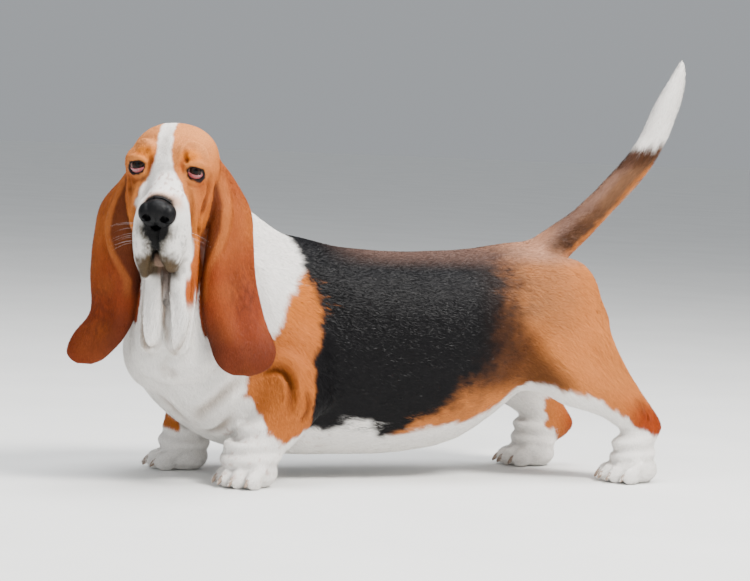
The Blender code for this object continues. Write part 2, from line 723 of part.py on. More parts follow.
def sculpt(name, clay, voxel, iterations, faces):
    """A small form made of clay: one skin, smoothed and reduced."""
    obj = clay.to_object(name)
    remesh = obj.modifiers.new("skin", "REMESH")
    remesh.mode = "VOXEL"
    remesh.voxel_size = voxel
    smooth = obj.modifiers.new("smooth", "SMOOTH")
    smooth.iterations = iterations
    triangulate(evaluated(obj))
    decimate = obj.modifiers.new("fewer", "DECIMATE")
    decimate.ratio = faces / len(obj.data.polygons)
    return keep_largest(evaluated(obj))


def make_nose():
    """The nose leather, before its nostrils."""
    clay = Clay()
    add_blob(clay, (0.102, 0, -0.027), (0.0175, 0.0215, 0.0185), MUZZLE_AT)
    add_blob(clay, (0.104, 0, -0.044), (0.0100, 0.0085, 0.0105), MUZZLE_AT)
    for side in (-1, 1):
        add_blob(clay, (0.104, 0.0150 * side, -0.029), (0.0145, 0.0120, 0.0150), MUZZLE_AT)
    return sculpt("nose", clay, 0.0012, 6, 600)


def cut_nostrils(nose):
    """The two comma shaped nostrils and the slits at their sides."""
    clay = Clay()
    for side in (-1, 1):
        add_blob(clay, (0.119, 0.0110 * side, -0.025), (0.0100, 0.0050, 0.0056), MUZZLE_AT,
                 (20 * side, 12, 0))
        add_tube(clay, [
            Stop(0.118, 0.0120 * side, -0.0290, 0.0028, 0.0028),
            Stop(0.115, 0.0180 * side, -0.0340, 0.0023, 0.0023),
            Stop(0.110, 0.0240 * side, -0.0345, 0.0020, 0.0020),
            Stop(0.102, 0.0300 * side, -0.0335, 0.0017, 0.0017),
        ], MUZZLE_AT, count=8)
    cutter = sculpt("nostrils", clay, 0.0009, 1, 420)
    boolean(nose, cutter, "DIFFERENCE")
    remove(cutter)


def make_jaw():
    """The lower jaw, which shows as the chin between the flews."""
    clay = Clay()
    add_barrel(clay, JAW, MUZZLE_AT, widest=0.55, count=16)
    return sculpt("lower_jaw", clay, 0.0018, 4, 420)


def swollen(obj, by):
    """A copy pushed outwards, used to cut room for the object."""
    copy = copy_of(obj, obj.name + " room")
    displace = copy.modifiers.new("out", "DISPLACE")
    displace.strength = by
    displace.mid_level = 0
    return evaluated(copy)


def make_room(obj, other):
    """Cuts the object back so that a thin gap is left round the other."""
    room = swollen(other, GAP * 1.3)
    boolean(obj, room, "DIFFERENCE")
    remove(room)


def tilted(point, angle):
    """A frame in the body's plane of symmetry, turned about y by an angle in degrees."""
    return Matrix.Translation(point) @ Matrix.Rotation(math.radians(angle), 4, "Y")


def part_flesh(skin):
    """Parts the skin with thin cuts where a person would name its parts."""
    nodes = {}
    head_plane = HEAD @ tilted((-0.065, 0, -0.0475), 42.4)
    nodes["head"] = part_off(skin, "head", (-0.20, -0.16, 0), (0.20, 0.16, 0.30), head_plane)
    for leg, word in zip(FORE_LEGS, ("left", "right")):
        x, y = leg.paw[0], leg.side
        low, high = sorted((0.012 * y, 0.22 * y))
        nodes["forefoot_" + word] = part_off(skin, "forefoot_" + word, (x - 0.10, low, -0.02),
                                             (x + 0.075, high, 0.034))
        low, high = sorted((0, 0.16 * y))
        lean = Matrix.Translation((x, 0.050 * y, 0.034)) @ Matrix.Rotation(math.radians(-19 * y), 4, "X")
        nodes["foreleg_" + word] = part_off(skin, "foreleg_" + word, (-0.07, low, -0.02),
                                            (0.132, high, 0.115), lean)
    for leg, word in zip(HIND_LEGS, ("left", "right")):
        x, y = leg.paw[0], leg.side
        low, high = sorted((0.040 * y, 0.22 * y))
        nodes["hindfoot_" + word] = part_off(skin, "hindfoot_" + word, (x - 0.10, low, -0.02),
                                             (x + 0.08, high, 0.050))
        shank = tilted((leg.hock[0] - 0.065, 0, leg.hock[2] + 0.042), 38)
        nodes["shank_" + word] = part_off(skin, "shank_" + word, (0, low, -0.10), (0.20, high, 0.12), shank)
        low, high = sorted((0.050 * y, 0.22 * y))
        nodes["thigh_" + word] = part_off(skin, "thigh_" + word, (0.146, low, 0.04), (0.42, high, 0.262))
    nodes["tail_tip"] = part_off(skin, "tail_tip", (-0.08, -0.06, 0), (0.08, 0.06, 0.30),
                                 tilted((0.428, 0, 0.522), 24))
    nodes["tail_base"] = part_off(skin, "tail_base", (-0.08, -0.06, 0), (0.08, 0.06, 0.30),
                                  tilted((0.268, 0, 0.362), 56))
    nodes["neck"] = part_off(skin, "neck", (-0.30, -0.24, 0), (0.20, 0.2, 0.30),
                             tilted((-0.330, 0, 0.292), -30))
    nodes["chest"] = part_off(skin, "chest", (-0.60, -0.30, -0.1), (-0.135, 0.30, 0.60))
    nodes["rump"] = part_off(skin, "rump", (0.130, -0.30, -0.1), (0.60, 0.30, 0.60))
    skin.name = "barrel"
    nodes["barrel"] = skin
    return nodes


TAN = (0.42, 0.17, 0.06)
WHITE = (0.78, 0.74, 0.68)
BLACK = (0.020, 0.018, 0.018)
MAHOGANY = (0.24, 0.075, 0.028)
COATS = {
    "head": TAN, "neck": WHITE, "chest": WHITE, "barrel": BLACK, "rump": TAN, "tail_base": MAHOGANY,
    "tail_tip": WHITE, "foreleg": WHITE, "forefoot": WHITE, "thigh": TAN, "shank": TAN, "hindfoot": WHITE,
    "ear": MAHOGANY, "lower_jaw": WHITE,
}


def dress(obj):
    """Gives the object its own material."""
    finish = bpy.data.materials.new(obj.name)
    finish.use_nodes = True
    shader = finish.node_tree.nodes["Principled BSDF"]
    kind = obj.name.replace("_left", "").replace("_right", "")
    colour, roughness = COATS.get(kind), 0.85
    if kind == "nose":
        colour, roughness = (0.012, 0.012, 0.014), 0.35
    if kind == "eye":
        colour, roughness = (0.025, 0.012, 0.008), 0.06
    shader.inputs["Base Color"].default_value = (*colour, 1)
    shader.inputs["Roughness"].default_value = roughness
    shader.inputs["Metallic"].default_value = 0
    obj.data.materials.clear()
    obj.data.materials.append(finish)


def settle(objects):
    """Moves the whole hound so that the middle of its box, at floor level, is the origin."""
    corners = np.vstack([points_of(obj) for obj in objects])
    low, high = corners.min(axis=0), corners.max(axis=0)
    shift = Vector((-(low[0] + high[0]) / 2, -(low[1] + high[1]) / 2, -low[2]))
    for obj in objects:
        obj.data.transform(Matrix.Translation(shift))
    return shift


def make_skin():
    """The flesh as one closed skin with few enough triangles."""
    skin = flesh_object()
    remesh = skin.modifiers.new("skin", "REMESH")
    remesh.mode = "VOXEL"
    remesh.voxel_size = VOXEL
    keep_largest(evaluated(skin))
    set_group(skin, "soft", softness(skin))
    smooth = skin.modifiers.new("soft", "SMOOTH")
    smooth.iterations = SMOOTH_BODY
    smooth.vertex_group = "soft"
    smooth = skin.modifiers.new("all", "SMOOTH")
    smooth.iterations = SMOOTH_ALL
    evaluated(skin)
    skin.vertex_groups.clear()
    triangulate(skin)
    for name, faces in (("body", FACES_BODY), ("legs", FACES_LEGS), ("head", FACES_HEAD),
                        ("tail", FACES_TAIL)):
        reduce(skin, name, regions(skin)[name], faces)
    decimate = skin.modifiers.new("fewer", "DECIMATE")
    decimate.ratio = FACES_FLESH / len(skin.data.polygons)
    evaluated(skin)
    floor = box((-1, -1, -0.2), (1, 1, 0), BODY)
    boolean(skin, floor, "DIFFERENCE")
    remove(floor)
    return skin


def main():
    """Models the hound, parts it into its nodes, and returns how far settling moved it."""
    clear_scene()
    skin = make_skin()
    eyes = [make_ball("eye_" + word, HEAD @ eye_middle(side), EYEBALL_RADIUS)
            for side, word in ((1, "left"), (-1, "right"))]
    nose, jaw = make_nose(), make_jaw()
    ears = [make_ear("ear_left", EAR_LEFT, 1), make_ear("ear_right", EAR_RIGHT, -1)]
    for ear in ears:
        make_room(ear, skin)
    nodes = part_flesh(skin)
    for piece in (*eyes, nose, jaw):
        make_room(nodes["head"], piece)
    make_room(nodes["neck"], jaw)
    cut_nostrils(nose)
    objects = [*nodes.values(), *eyes, nose, jaw, *ears]
    for obj in objects:
        dress(obj)
    return settle(objects)


SHIFT = main()
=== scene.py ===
"""The basset hound's looks: one skin with its folds and lids, a short coat, eyes, nose, claws and whiskers.

Metres, +Z up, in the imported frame, and millimetres in the tables of ears, folds and patches. The hound faces
-X and its left side is towards -Y. Places on the body are given from the middle of its stance, and places on
the head in two frames of its own: the skull's, which turns, droops and tilts with it, and a level one that
only turns.
"""

import logging
from dataclasses import astuple, dataclass, field
from enum import Enum
from math import cos, exp, hypot, pi, radians, sin
from typing import Callable, Iterable, Sequence

import bmesh
import bpy
import numpy as np
from bpy.types import ID, Mesh, Node, NodeSocket, NodeTree, Object
from mathutils import Matrix, Vector
from mathutils.bvhtree import BVHTree
from numpy.linalg import norm


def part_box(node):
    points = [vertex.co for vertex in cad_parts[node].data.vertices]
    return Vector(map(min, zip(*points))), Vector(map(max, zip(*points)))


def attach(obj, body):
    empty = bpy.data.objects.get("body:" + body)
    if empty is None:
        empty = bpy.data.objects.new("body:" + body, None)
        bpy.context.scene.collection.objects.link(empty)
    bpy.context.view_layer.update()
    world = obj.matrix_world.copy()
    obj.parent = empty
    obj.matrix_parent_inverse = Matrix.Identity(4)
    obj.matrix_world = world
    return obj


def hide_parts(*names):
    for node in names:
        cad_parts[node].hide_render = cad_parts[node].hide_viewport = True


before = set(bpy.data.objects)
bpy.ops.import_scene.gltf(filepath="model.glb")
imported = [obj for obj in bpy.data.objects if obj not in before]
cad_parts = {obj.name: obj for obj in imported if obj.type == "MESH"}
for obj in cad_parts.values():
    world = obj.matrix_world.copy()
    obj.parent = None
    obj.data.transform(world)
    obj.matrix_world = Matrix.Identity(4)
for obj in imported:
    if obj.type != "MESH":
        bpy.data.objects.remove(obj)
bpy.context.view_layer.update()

LOG = logging.getLogger("hound")
HASH_AXES = np.array([73856093, 19349663, 83492791])
HASH_SEED = 2654435761
HASH_SPREAD = 1274126177
Point = tuple[float, float, float]
Rows = np.ndarray


class Side(Enum):
    """A side of the hound, with its sign in the head's frames."""

    LEFT = 1
    RIGHT = -1

    @property
    def word(self) -> str:
        """The side's name in the names of nodes."""
        return self.name.lower()


class Hue(Enum):
    """The coat's and the skin's colours, as they look in plain light, 0 to 255."""

    WHITE = (238, 234, 229)
    CREAM = (228, 205, 172)
    PEACH = (206, 134, 78)
    TAN = (188, 114, 56)
    GOLD = (206, 118, 34)
    AMBER = (178, 100, 42)
    ORANGE = (168, 82, 28)
    RUST = (140, 52, 12)
    HAZEL = (146, 96, 60)
    # Painted sheen on the topline of loin and rump.
    ROSE = (168, 130, 110)
    SABLE = (126, 96, 84)
    DUSK = (112, 78, 54)
    MAHOGANY = (134, 58, 28)
    DARK_EAR = (70, 30, 16)
    BLACK = (9, 8, 10)
    BROWN = (54, 28, 12)
    GREY = (96, 90, 80)
    STAIN = (70, 52, 24)
    LIP = (8, 7, 7)
    LID = (30, 21, 22)
    THROAT = (112, 90, 76)
    FRECKLE = (176, 138, 124)

    @property
    def linear(self) -> Rows:
        """The colour as scene linear values."""
        share = np.array(self.value) / 255
        return np.where(share <= 0.04045, share / 12.92, ((share + 0.055) / 1.055) ** 2.4)

    def over(self, points: Rows) -> Rows:
        """The colour once for each place."""
        return np.tile(self.linear, (len(points), 1))


def rounded(value: Rows | float, low: float, high: float) -> Rows:
    """A smooth step.

    Args:
        value: What is measured.
        low: Where the step starts; it may be above high, for a falling step.
        high: Where the step ends.

    Returns:
        0 before low, 1 after high, and a smooth rise between.
    """
    t = np.clip((np.asarray(value, float) - low) / (high - low), 0, 1)
    return t * t * (3 - 2 * t)


def grain(points: Rows, size: float, seed: int) -> Rows:
    """Soft seeded noise in space.

    Args:
        points: Places, one a row.
        size: How far apart its lumps lie, in metres.
        seed: Which noise.

    Returns:
        A value for each place, -1 to 1.
    """
    spots = points / size
    base = np.floor(spots).astype(np.int64)
    part = spots - base
    part = part * part * (3 - 2 * part)
    total = np.zeros(len(points))
    for corner in range(8):
        step = np.array([corner & 1, corner >> 1 & 1, corner >> 2 & 1])
        mix = np.bitwise_xor.reduce((base + step) * HASH_AXES, axis=1) ^ (seed * HASH_SEED)
        mix = (mix ^ (mix >> 13)) * HASH_SPREAD & 0xFFFFFFFF
        mix = (mix ^ (mix >> 16)) & 0xFFFF
        share = np.prod(np.where(step == 1, part, 1 - part), axis=1)
        total += share * (mix / 32767.5 - 1)
    return total


def spline(stops: Sequence[Sequence[float]], count: int) -> Rows:
    """A smooth run through the stops.

    Args:
        stops: Rows of values to pass through.
        count: How many rows to return.

    Returns:
        The rows along the run.
    """
    rows = np.array(stops, float)
    padded = np.vstack([2 * rows[0] - rows[1], rows, 2 * rows[-1] - rows[-2]])
    u = np.linspace(0, len(rows) - 1, count)
    i = np.minimum(u.astype(int), len(rows) - 2)
    t = (u - i)[:, None]
    a, b, c, d = (padded[i + k] for k in range(4))
    return 0.5 * (2 * b + (c - a) * t + (2 * a - 5 * b + 4 * c - d) * t ** 2
                  + (3 * b - a - 3 * c + d) * t ** 3)


def metres(rows: Sequence[Sequence[float]]) -> tuple[tuple[float, ...], ...]:
    """Rows of millimetres as rows of metres, free of rounding noise."""
    return tuple(tuple(round(value / 1000, 7) for value in row) for row in rows)


def moved(points: Sequence[Point] | Rows, place: Matrix) -> Rows:
    """The points carried by a matrix, one a row."""
    turn = np.array(place)
    return np.asarray(points, float).reshape(-1, 3) @ turn[:3, :3].T + turn[:3, 3]


def scaled_reach(points: Rows, centre: Sequence[float], scale: Sequence[float]) -> Rows:
    """How far places lie from a centre, with each axis measured in a scale of its own."""
    return norm((points - centre) / scale, axis=1)


@dataclass(frozen=True)
class Stance:
    """How the hound and its head are held, and the frames that follow from it."""

    head_centre: Point = (-0.446, -0.145, 0.466)
    head_turn: float = 59.0
    head_droop: float = 17.0
    head_tilt: float = 3.5
    eye_radius: float = 0.0125
    eye_depth: float = 0.0010
    eye_height: float = -0.002
    eye_spacing: float = 0.081
    eye_offset: float = -0.0025
    eye_turn: float = 13.0

    def turned(self, droop: float, tilt: float) -> Matrix:
        """A frame at the head with this droop and tilt, before the hound is set in its place."""
        turn, droop, tilt = (radians(a) for a in (self.head_turn, droop, tilt))
        ahead = Vector((-cos(turn) * cos(droop), -sin(turn) * cos(droop),
                        -sin(droop)))
        level_left = Vector((sin(turn), -cos(turn), 0))
        level_up = ahead.cross(level_left)
        up = level_up * cos(tilt) + level_left * sin(tilt)
        left = level_left * cos(tilt) - level_up * sin(tilt)
        return Matrix.Translation(self.head_centre) @ Matrix((ahead, left, up)).transposed().to_4x4()

    def eye_place(self, side: Side) -> Vector:
        """The eyeball's middle in the skull's frame."""
        return Vector((self.eye_depth, side.value * self.eye_spacing / 2 + self.eye_offset, self.eye_height))

    @property
    def body(self) -> Matrix:
        """The frame at the middle of the stance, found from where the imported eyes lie."""
        apart = Vector()
        for side in Side:
            low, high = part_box("eye_" + side.word)
            apart += (low + high) / 2 - self.turned(self.head_droop, self.head_tilt) @ self.eye_place(side)
        return Matrix.Translation(apart / len(Side))

    @property
    def skull(self) -> Matrix:
        """The skull's frame: x along the muzzle, y to the hound's left, z up."""
        return self.body @ self.turned(self.head_droop, self.head_tilt)

    @property
    def level(self) -> Matrix:
        """The level frame at the head."""
        return self.body @ self.turned(0, 0)

    def round_eye(self, side: Side, across: float, rise: float, reach: float) -> Vector:
        """A point in the skull's frame, at a reach from the eyeball's middle, by degrees out and up."""
        out, up = radians(self.eye_turn + across), radians(rise)
        way = Vector((cos(out) * cos(up), side.value * sin(out) * cos(up), sin(up)))
        return self.eye_place(side) + way * reach


@dataclass(frozen=True)
class LidOpening:
    """The slit between the lids: its half width, its top and its low edge, in degrees round the eyeball."""

    spread: float = 56.0
    top: float = 36.0
    low: float = -50.0
    sag: float = -11.0

    @property
    def middle(self) -> float:
        """How high the slit's middle lies."""
        return (self.top + self.low) / 2

    @property
    def half(self) -> float:
        """Half the slit's height."""
        return (self.top - self.low) / 2

    def rim(self, turn: float, grow: float = 1.0) -> tuple[float, float]:
        """A place on the edge.

        Args:
            turn: Where round the edge, in radians, from the outer corner over the top.
            grow: How much wider than the edge itself.

        Returns:
            Degrees out and up.
        """
        across = self.spread * grow * cos(turn)
        return across, self.middle + self.half * grow * sin(turn) + self.sag * cos(turn)

    def outside(self, across: Rows, rise: Rows) -> Rows:
        """How far places lie outside the edge, as a share of the opening, 0 at the edge."""
        turn = across / self.spread
        return np.hypot(turn, (rise - self.middle - self.sag * turn) / self.half) - 1


STANCE = Stance()
OPENING = LidOpening()
BODY, SKULL, LEVEL = STANCE.body, STANCE.skull, STANCE.level
PLACES = {"body": BODY, "skull": SKULL, "level": LEVEL}
MUZZLE = SKULL @ Matrix.Translation((0, 0.004, -0.007))
FACE_WAY = np.array([0.674, 0, 0.739])
EAR_MARGIN = 0.004


def lid_angles(points: Rows, side: Side) -> tuple[Rows, Rows, Rows, Rows]:
    """Where places in the skull's frame lie round an eyeball.

    Args:
        points: The places.
        side: Which eye.

    Returns:
        How far ahead of its middle, how far from it, and degrees out and up.
    """
    away = points - np.array(STANCE.eye_place(side))
    reach = norm(away, axis=1)
    across = np.degrees(np.arctan2(side.value * away[:, 1], away[:, 0])) - STANCE.eye_turn
    rise = np.degrees(np.arcsin(np.clip(away[:, 2] / np.maximum(reach, 1e-6), -1, 1)))
    return away[:, 0], reach, across, rise


def by_ear(points: Rows, side: Side, reach: float) -> tuple[Rows, Rows]:
    """Finds the places beside a packed ear.

    Args:
        points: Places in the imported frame.
        side: Which ear.
        reach: How near a place has to lie to be on it.

    Returns:
        For each place, whether it is in the box round the ear, and whether it is on the ear.
    """
    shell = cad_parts["ear_" + side.word]
    low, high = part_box(shell.name)
    tree = BVHTree.FromPolygons([v.co.copy() for v in shell.data.vertices],
                                [tuple(p.vertices) for p in shell.data.polygons])
    boxed = (points > np.array(low) - EAR_MARGIN).all(1) & (points < np.array(high) + EAR_MARGIN).all(1)
    found = np.zeros(len(points), bool)
    for i in np.nonzero(boxed)[0]:
        found[i] = tree.find_nearest(Vector(points[i]), reach)[0] is not None
    return boxed, found


def deselect() -> None:
    """Leaves nothing selected."""
    bpy.ops.object.select_all(action="DESELECT")


def make_active(obj: Object) -> Object:
    """Selects the object alone and makes it active."""
    deselect()
    obj.select_set(True)
    bpy.context.view_layer.objects.active = obj
    return obj


def in_edit_mode(obj: Object, work: Callable[..., object], **values: object) -> None:
    """Runs an operator with these values on all of the object in edit mode."""
    make_active(obj)
    bpy.ops.object.mode_set(mode="EDIT")
    bpy.ops.mesh.select_all(action="SELECT")
    work(**values)
    bpy.ops.object.mode_set(mode="OBJECT")


def placed(name: str, data: ID) -> Object:
    """An object with this data, linked to the scene."""
    obj = bpy.data.objects.new(name, data)
    bpy.context.scene.collection.objects.link(obj)
    return obj


def mesh_object(name: str, points: Rows, faces: Sequence[Sequence[int]]) -> Object:
    """An object from points and faces, linked to the scene."""
    mesh = bpy.data.meshes.new(name)
    mesh.from_pydata(np.asarray(points).tolist(), [], [list(map(int, f)) for f in faces])
    return placed(name, mesh)


def tube_wall(rings: int, sides: int, start: int = 0) -> list[list[int]]:
    """The faces between rings of points that follow each other from a start."""
    return [[ring + k, ring + sides + k, ring + sides + (k + 1) % sides, ring + (k + 1) % sides]
            for ring in range(start, start + (rings - 1) * sides, sides) for k in range(sides)]


def apply_modifier(obj: Object, kind: str, **values: object) -> Object:
    """Adds a modifier with these values and applies it.

    Args:
        obj: The object to change.
        kind: The modifier's type.
        values: Its settings.

    Returns:
        The same object.
    """
    make_active(obj)
    modifier = obj.modifiers.new(kind.lower(), kind)
    for key, value in values.items():
        setattr(modifier, key, value)
    bpy.ops.object.modifier_apply(modifier=modifier.name)
    return obj


def points_of(obj: Object, what: str = "co") -> Rows:
    """The object's points, or their normals, one a row."""
    rows = np.empty(len(obj.data.vertices) * 3)
    obj.data.vertices.foreach_get(what, rows)
    return rows.reshape(-1, 3)


def set_points(obj: Object, points: Rows) -> None:
    """Moves the object's points."""
    obj.data.vertices.foreach_set("co", np.asarray(points, float).ravel())
    obj.data.update()


def soften(obj: Object, weights: Rows, rounds: int) -> None:
    """Smooths the object where the weights say so.

    Args:
        obj: The object to smooth.
        weights: 0 to 1 for each point.
        rounds: How many rounds of smoothing.
    """
    group = obj.vertex_groups.new(name="soft")
    steps = np.round(weights * 10).astype(int)
    for step in range(1, 11):
        chosen = np.nonzero(steps == step)[0]
        if len(chosen):
            group.add(chosen.tolist(), step / 10, "REPLACE")
    apply_modifier(obj, "SMOOTH", iterations=rounds, vertex_group="soft")
    obj.vertex_groups.clear()


def keep_largest(obj: Object) -> None:
    """Leaves the largest joined surface of the object."""
    count = len(obj.data.vertices)
    edges = np.empty(len(obj.data.edges) * 2, int)
    obj.data.edges.foreach_get("vertices", edges)
    a, b = edges.reshape(-1, 2).T
    label = np.arange(count)
    while True:
        low = np.minimum(label[a], label[b])
        fresh = label.copy()
        np.minimum.at(fresh, a, low)
        np.minimum.at(fresh, b, low)
        fresh = fresh[fresh]
        if np.array_equal(fresh, label):
            break
        label = fresh
    names, sizes = np.unique(label, return_counts=True)
    if len(names) == 1:
        return
    stray = np.nonzero(label != names[sizes.argmax()])[0]
    shape = bmesh.new()
    shape.from_mesh(obj.data)
    shape.verts.ensure_lookup_table()
    bmesh.ops.delete(shape, geom=[shape.verts[i] for i in stray], context="VERTS")
    shape.to_mesh(obj.data)
    shape.free()


def finish_piece(obj: Object, slot: str, *nodes: str) -> Object:
    """Finishes a piece: smooths its shading, hangs it under the root and hides the solids that it stands for.

    Args:
        obj: The piece.
        slot: Not used.
        nodes: The solids that it stands for.

    Returns:
        The same piece.
    """
    obj.data.polygons.foreach_set("use_smooth", np.ones(len(obj.data.polygons), bool))
    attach(obj, "root")
    if nodes:
        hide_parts(*nodes)
    LOG.info("%s: %d faces", obj.name, len(obj.data.polygons))
    return obj


class Clay:
    """Closed forms that overlap, gathered until one mesh is made of them."""

    def __init__(self) -> None:
        """Starts with a ball of radius 1 as the tool."""
        shape = bmesh.new()
        bmesh.ops.create_icosphere(shape, subdivisions=3, radius=1)
        shape.verts.index_update()
        self.ball = np.array([tuple(v.co) for v in shape.verts])
        self.ball_faces = np.array([[v.index for v in f.verts] for f in shape.faces])
        shape.free()
        self.points: list[Rows] = []
        self.faces: list[list[int]] = []
        self.count = 0

    def add(self, points: Rows, faces: Iterable[Sequence[int]]) -> None:
        """Adds one closed form."""
        self.points.append(np.asarray(points, float))
        self.faces.extend([self.count + int(i) for i in face] for face in faces)
        self.count += len(points)

    def blob(self, centre: Point | Vector, radii: Point, place: Matrix, turn: Point = (0, 0, 0)) -> None:
        """An ellipsoid, its turn in degrees about x, y and z."""
        angles = [radians(a) for a in turn]
        spin = Matrix.Rotation(angles[2], 4, "Z") @ Matrix.Rotation(angles[1], 4, "Y") \
            @ Matrix.Rotation(angles[0], 4, "X")
        self.add(moved(self.ball, place @ Matrix.Translation(centre) @ spin @ Matrix.Diagonal((*radii, 1))),
                 self.ball_faces)

    def rope(self, stops: Sequence[Sequence[float]], place: Matrix) -> None:
        """Beads set so close along a smooth path that they make a rope; a stop is x, y, z and radius."""
        rough = spline(stops, 60)
        length = norm(np.diff(rough[:, :3], axis=0), axis=1).sum()
        for x, y, z, radius in spline(stops, max(6, int(length / (0.35 * rough[:, 3].mean())))):
            self.blob((x, y, z), (radius, radius, radius), place)

    def to_object(self, name: str) -> Object:
        """All the clay as one object."""
        return mesh_object(name, np.vstack(self.points), self.faces)


@dataclass(frozen=True)
class EarRow:
    """One height of an ear: its middle in the level frame, its width, and how its leather turns and curls."""

    up: float
    out: float
    forward: float
    width: float
    turn: float
    curl: float


@dataclass(frozen=True)
class Ear:
    """A long pendulous ear, as a sheet of even thickness with round edges that rolls in at its front."""

    side: Side
    rows: tuple[EarRow, ...]
    thickness: float = 0.0052
    columns: int = 44
    lengths: int = 90
    pleat: float = 0.0022

    @property
    def spots(self) -> Rows:
        """Where the columns lie over the width, 0 to 1, closer together at the edges."""
        return 0.5 - 0.5 * np.cos(pi * np.arange(self.columns + 1) / self.columns)

    def section(self, row: Rows, share: float) -> Rows:
        """The leather's middle line at one height.

        Args:
            row: The values of the ear's row there.
            share: How far down the ear, 0 to 1.

        Returns:
            Points from the front edge to the rear edge.
        """
        up, out, forward, width, turn, curl = row
        steps = 120
        s = (np.arange(steps) + 0.5) / steps
        heading = np.radians(turn - curl * np.clip(1 - s / 0.45, 0, 1) ** 1.6
                             + 26 * np.clip(s - 0.6, 0, 1) / 0.4)
        path = np.vstack([[0, 0], np.cumsum(np.column_stack([np.cos(heading), -np.sin(heading)])
                                            * (width / steps), axis=0)])
        path -= path[steps // 2]
        s = np.linspace(0, 1, steps + 1)
        wave = np.cos(2 * pi * (s * 2.2 + 0.35 * sin(3.1 * share + self.side.value)))
        depth = self.pleat * exp(-((share - 0.38) / 0.30) ** 2) * np.sin(pi * s) ** 2
        heading = np.append(heading, heading[-1])
        path += np.column_stack([np.sin(heading), np.cos(heading)]) * (wave * depth)[:, None]
        path = path[np.round(self.spots * steps).astype(int)]
        return np.column_stack([forward + path[:, 1], self.side.value * (out + path[:, 0]),
                                np.full(len(path), up)])

    def build(self, clay: Clay) -> None:
        """Adds the ear to the clay."""
        fine = spline([astuple(row) for row in self.rows], 8 * self.lengths)
        v = np.arange(self.lengths) / (self.lengths - 1)
        picked = np.round((1 - (1 - v) ** 1.5) * (len(fine) - 1)).astype(int)
        sheet = np.array([self.section(fine[k], k / len(fine)) for k in picked])
        normals = np.cross(np.gradient(sheet, axis=1), np.gradient(sheet, axis=0))
        normals /= norm(normals, axis=2, keepdims=True)
        u = self.spots[None, :]
        taper = np.sqrt(np.clip(1 - (2 * u - 1) ** 8, 0, 1)) * np.sqrt(np.clip(1 - v[:, None] ** 30, 0, 1))
        thick = (self.thickness / 2 * np.maximum(taper, 0.12))[..., None]
        size = self.columns + 1
        count = self.lengths * size
        points = np.vstack([(sheet + normals * thick).reshape(-1, 3),
                            (sheet - normals * thick).reshape(-1, 3)])
        grid = np.arange(count).reshape(self.lengths, size)
        quads = np.stack([grid[:-1, :-1], grid[1:, :-1], grid[1:, 1:], grid[:-1, 1:]], -1).reshape(-1, 4)
        loop = np.concatenate([grid[0, :], grid[1:, -1], grid[-1, -2::-1], grid[-2:0:-1, 0]])
        wall = np.stack([loop, np.roll(loop, -1), np.roll(loop, -1) + count, loop + count], -1)
        clay.add(moved(points, LEVEL), np.vstack([quads, quads[:, ::-1] + count, wall]))


def ear_rows(*rows: Sequence[float]) -> tuple[EarRow, ...]:
    """The rows of an ear from millimetres, with turn and curl in degrees."""
    return tuple(EarRow(*metres([row[:4]])[0], *row[4:]) for row in rows)


EARS = (
    Ear(Side.LEFT, ear_rows(
        (16, 52, -64, 52, 88, 0), (-18, 77, -58, 64, 76, 50), (-60, 90, -42, 80, 52, 110),
        (-110, 87, -30, 90, 36, 140), (-160, 86, -25, 98, 26, 140), (-215, 95, -22, 107, 18, 110),
        (-255, 113, -20, 104, 14, 70), (-277, 118, -18, 86, 12, 30), (-289, 117, -18, 60, 10, 10),
        (-296, 114, -18, 24, 10, 0),
    )),
    Ear(Side.RIGHT, ear_rows(
        (16, 52, -64, 52, 88, 0), (-18, 72, -58, 64, 76, 50), (-60, 92, -45, 84, 54, 110),
        (-110, 87, -36, 98, 38, 130), (-160, 82, -32, 100, 28, 130), (-215, 81, -30, 82, 20, 100),
        (-250, 100, -28, 86, 14, 50), (-274, 113, -26, 72, 10, 30), (-286, 116, -26, 50, 8, 10),
        (-292, 116, -26, 22, 8, 0),
    )),
)


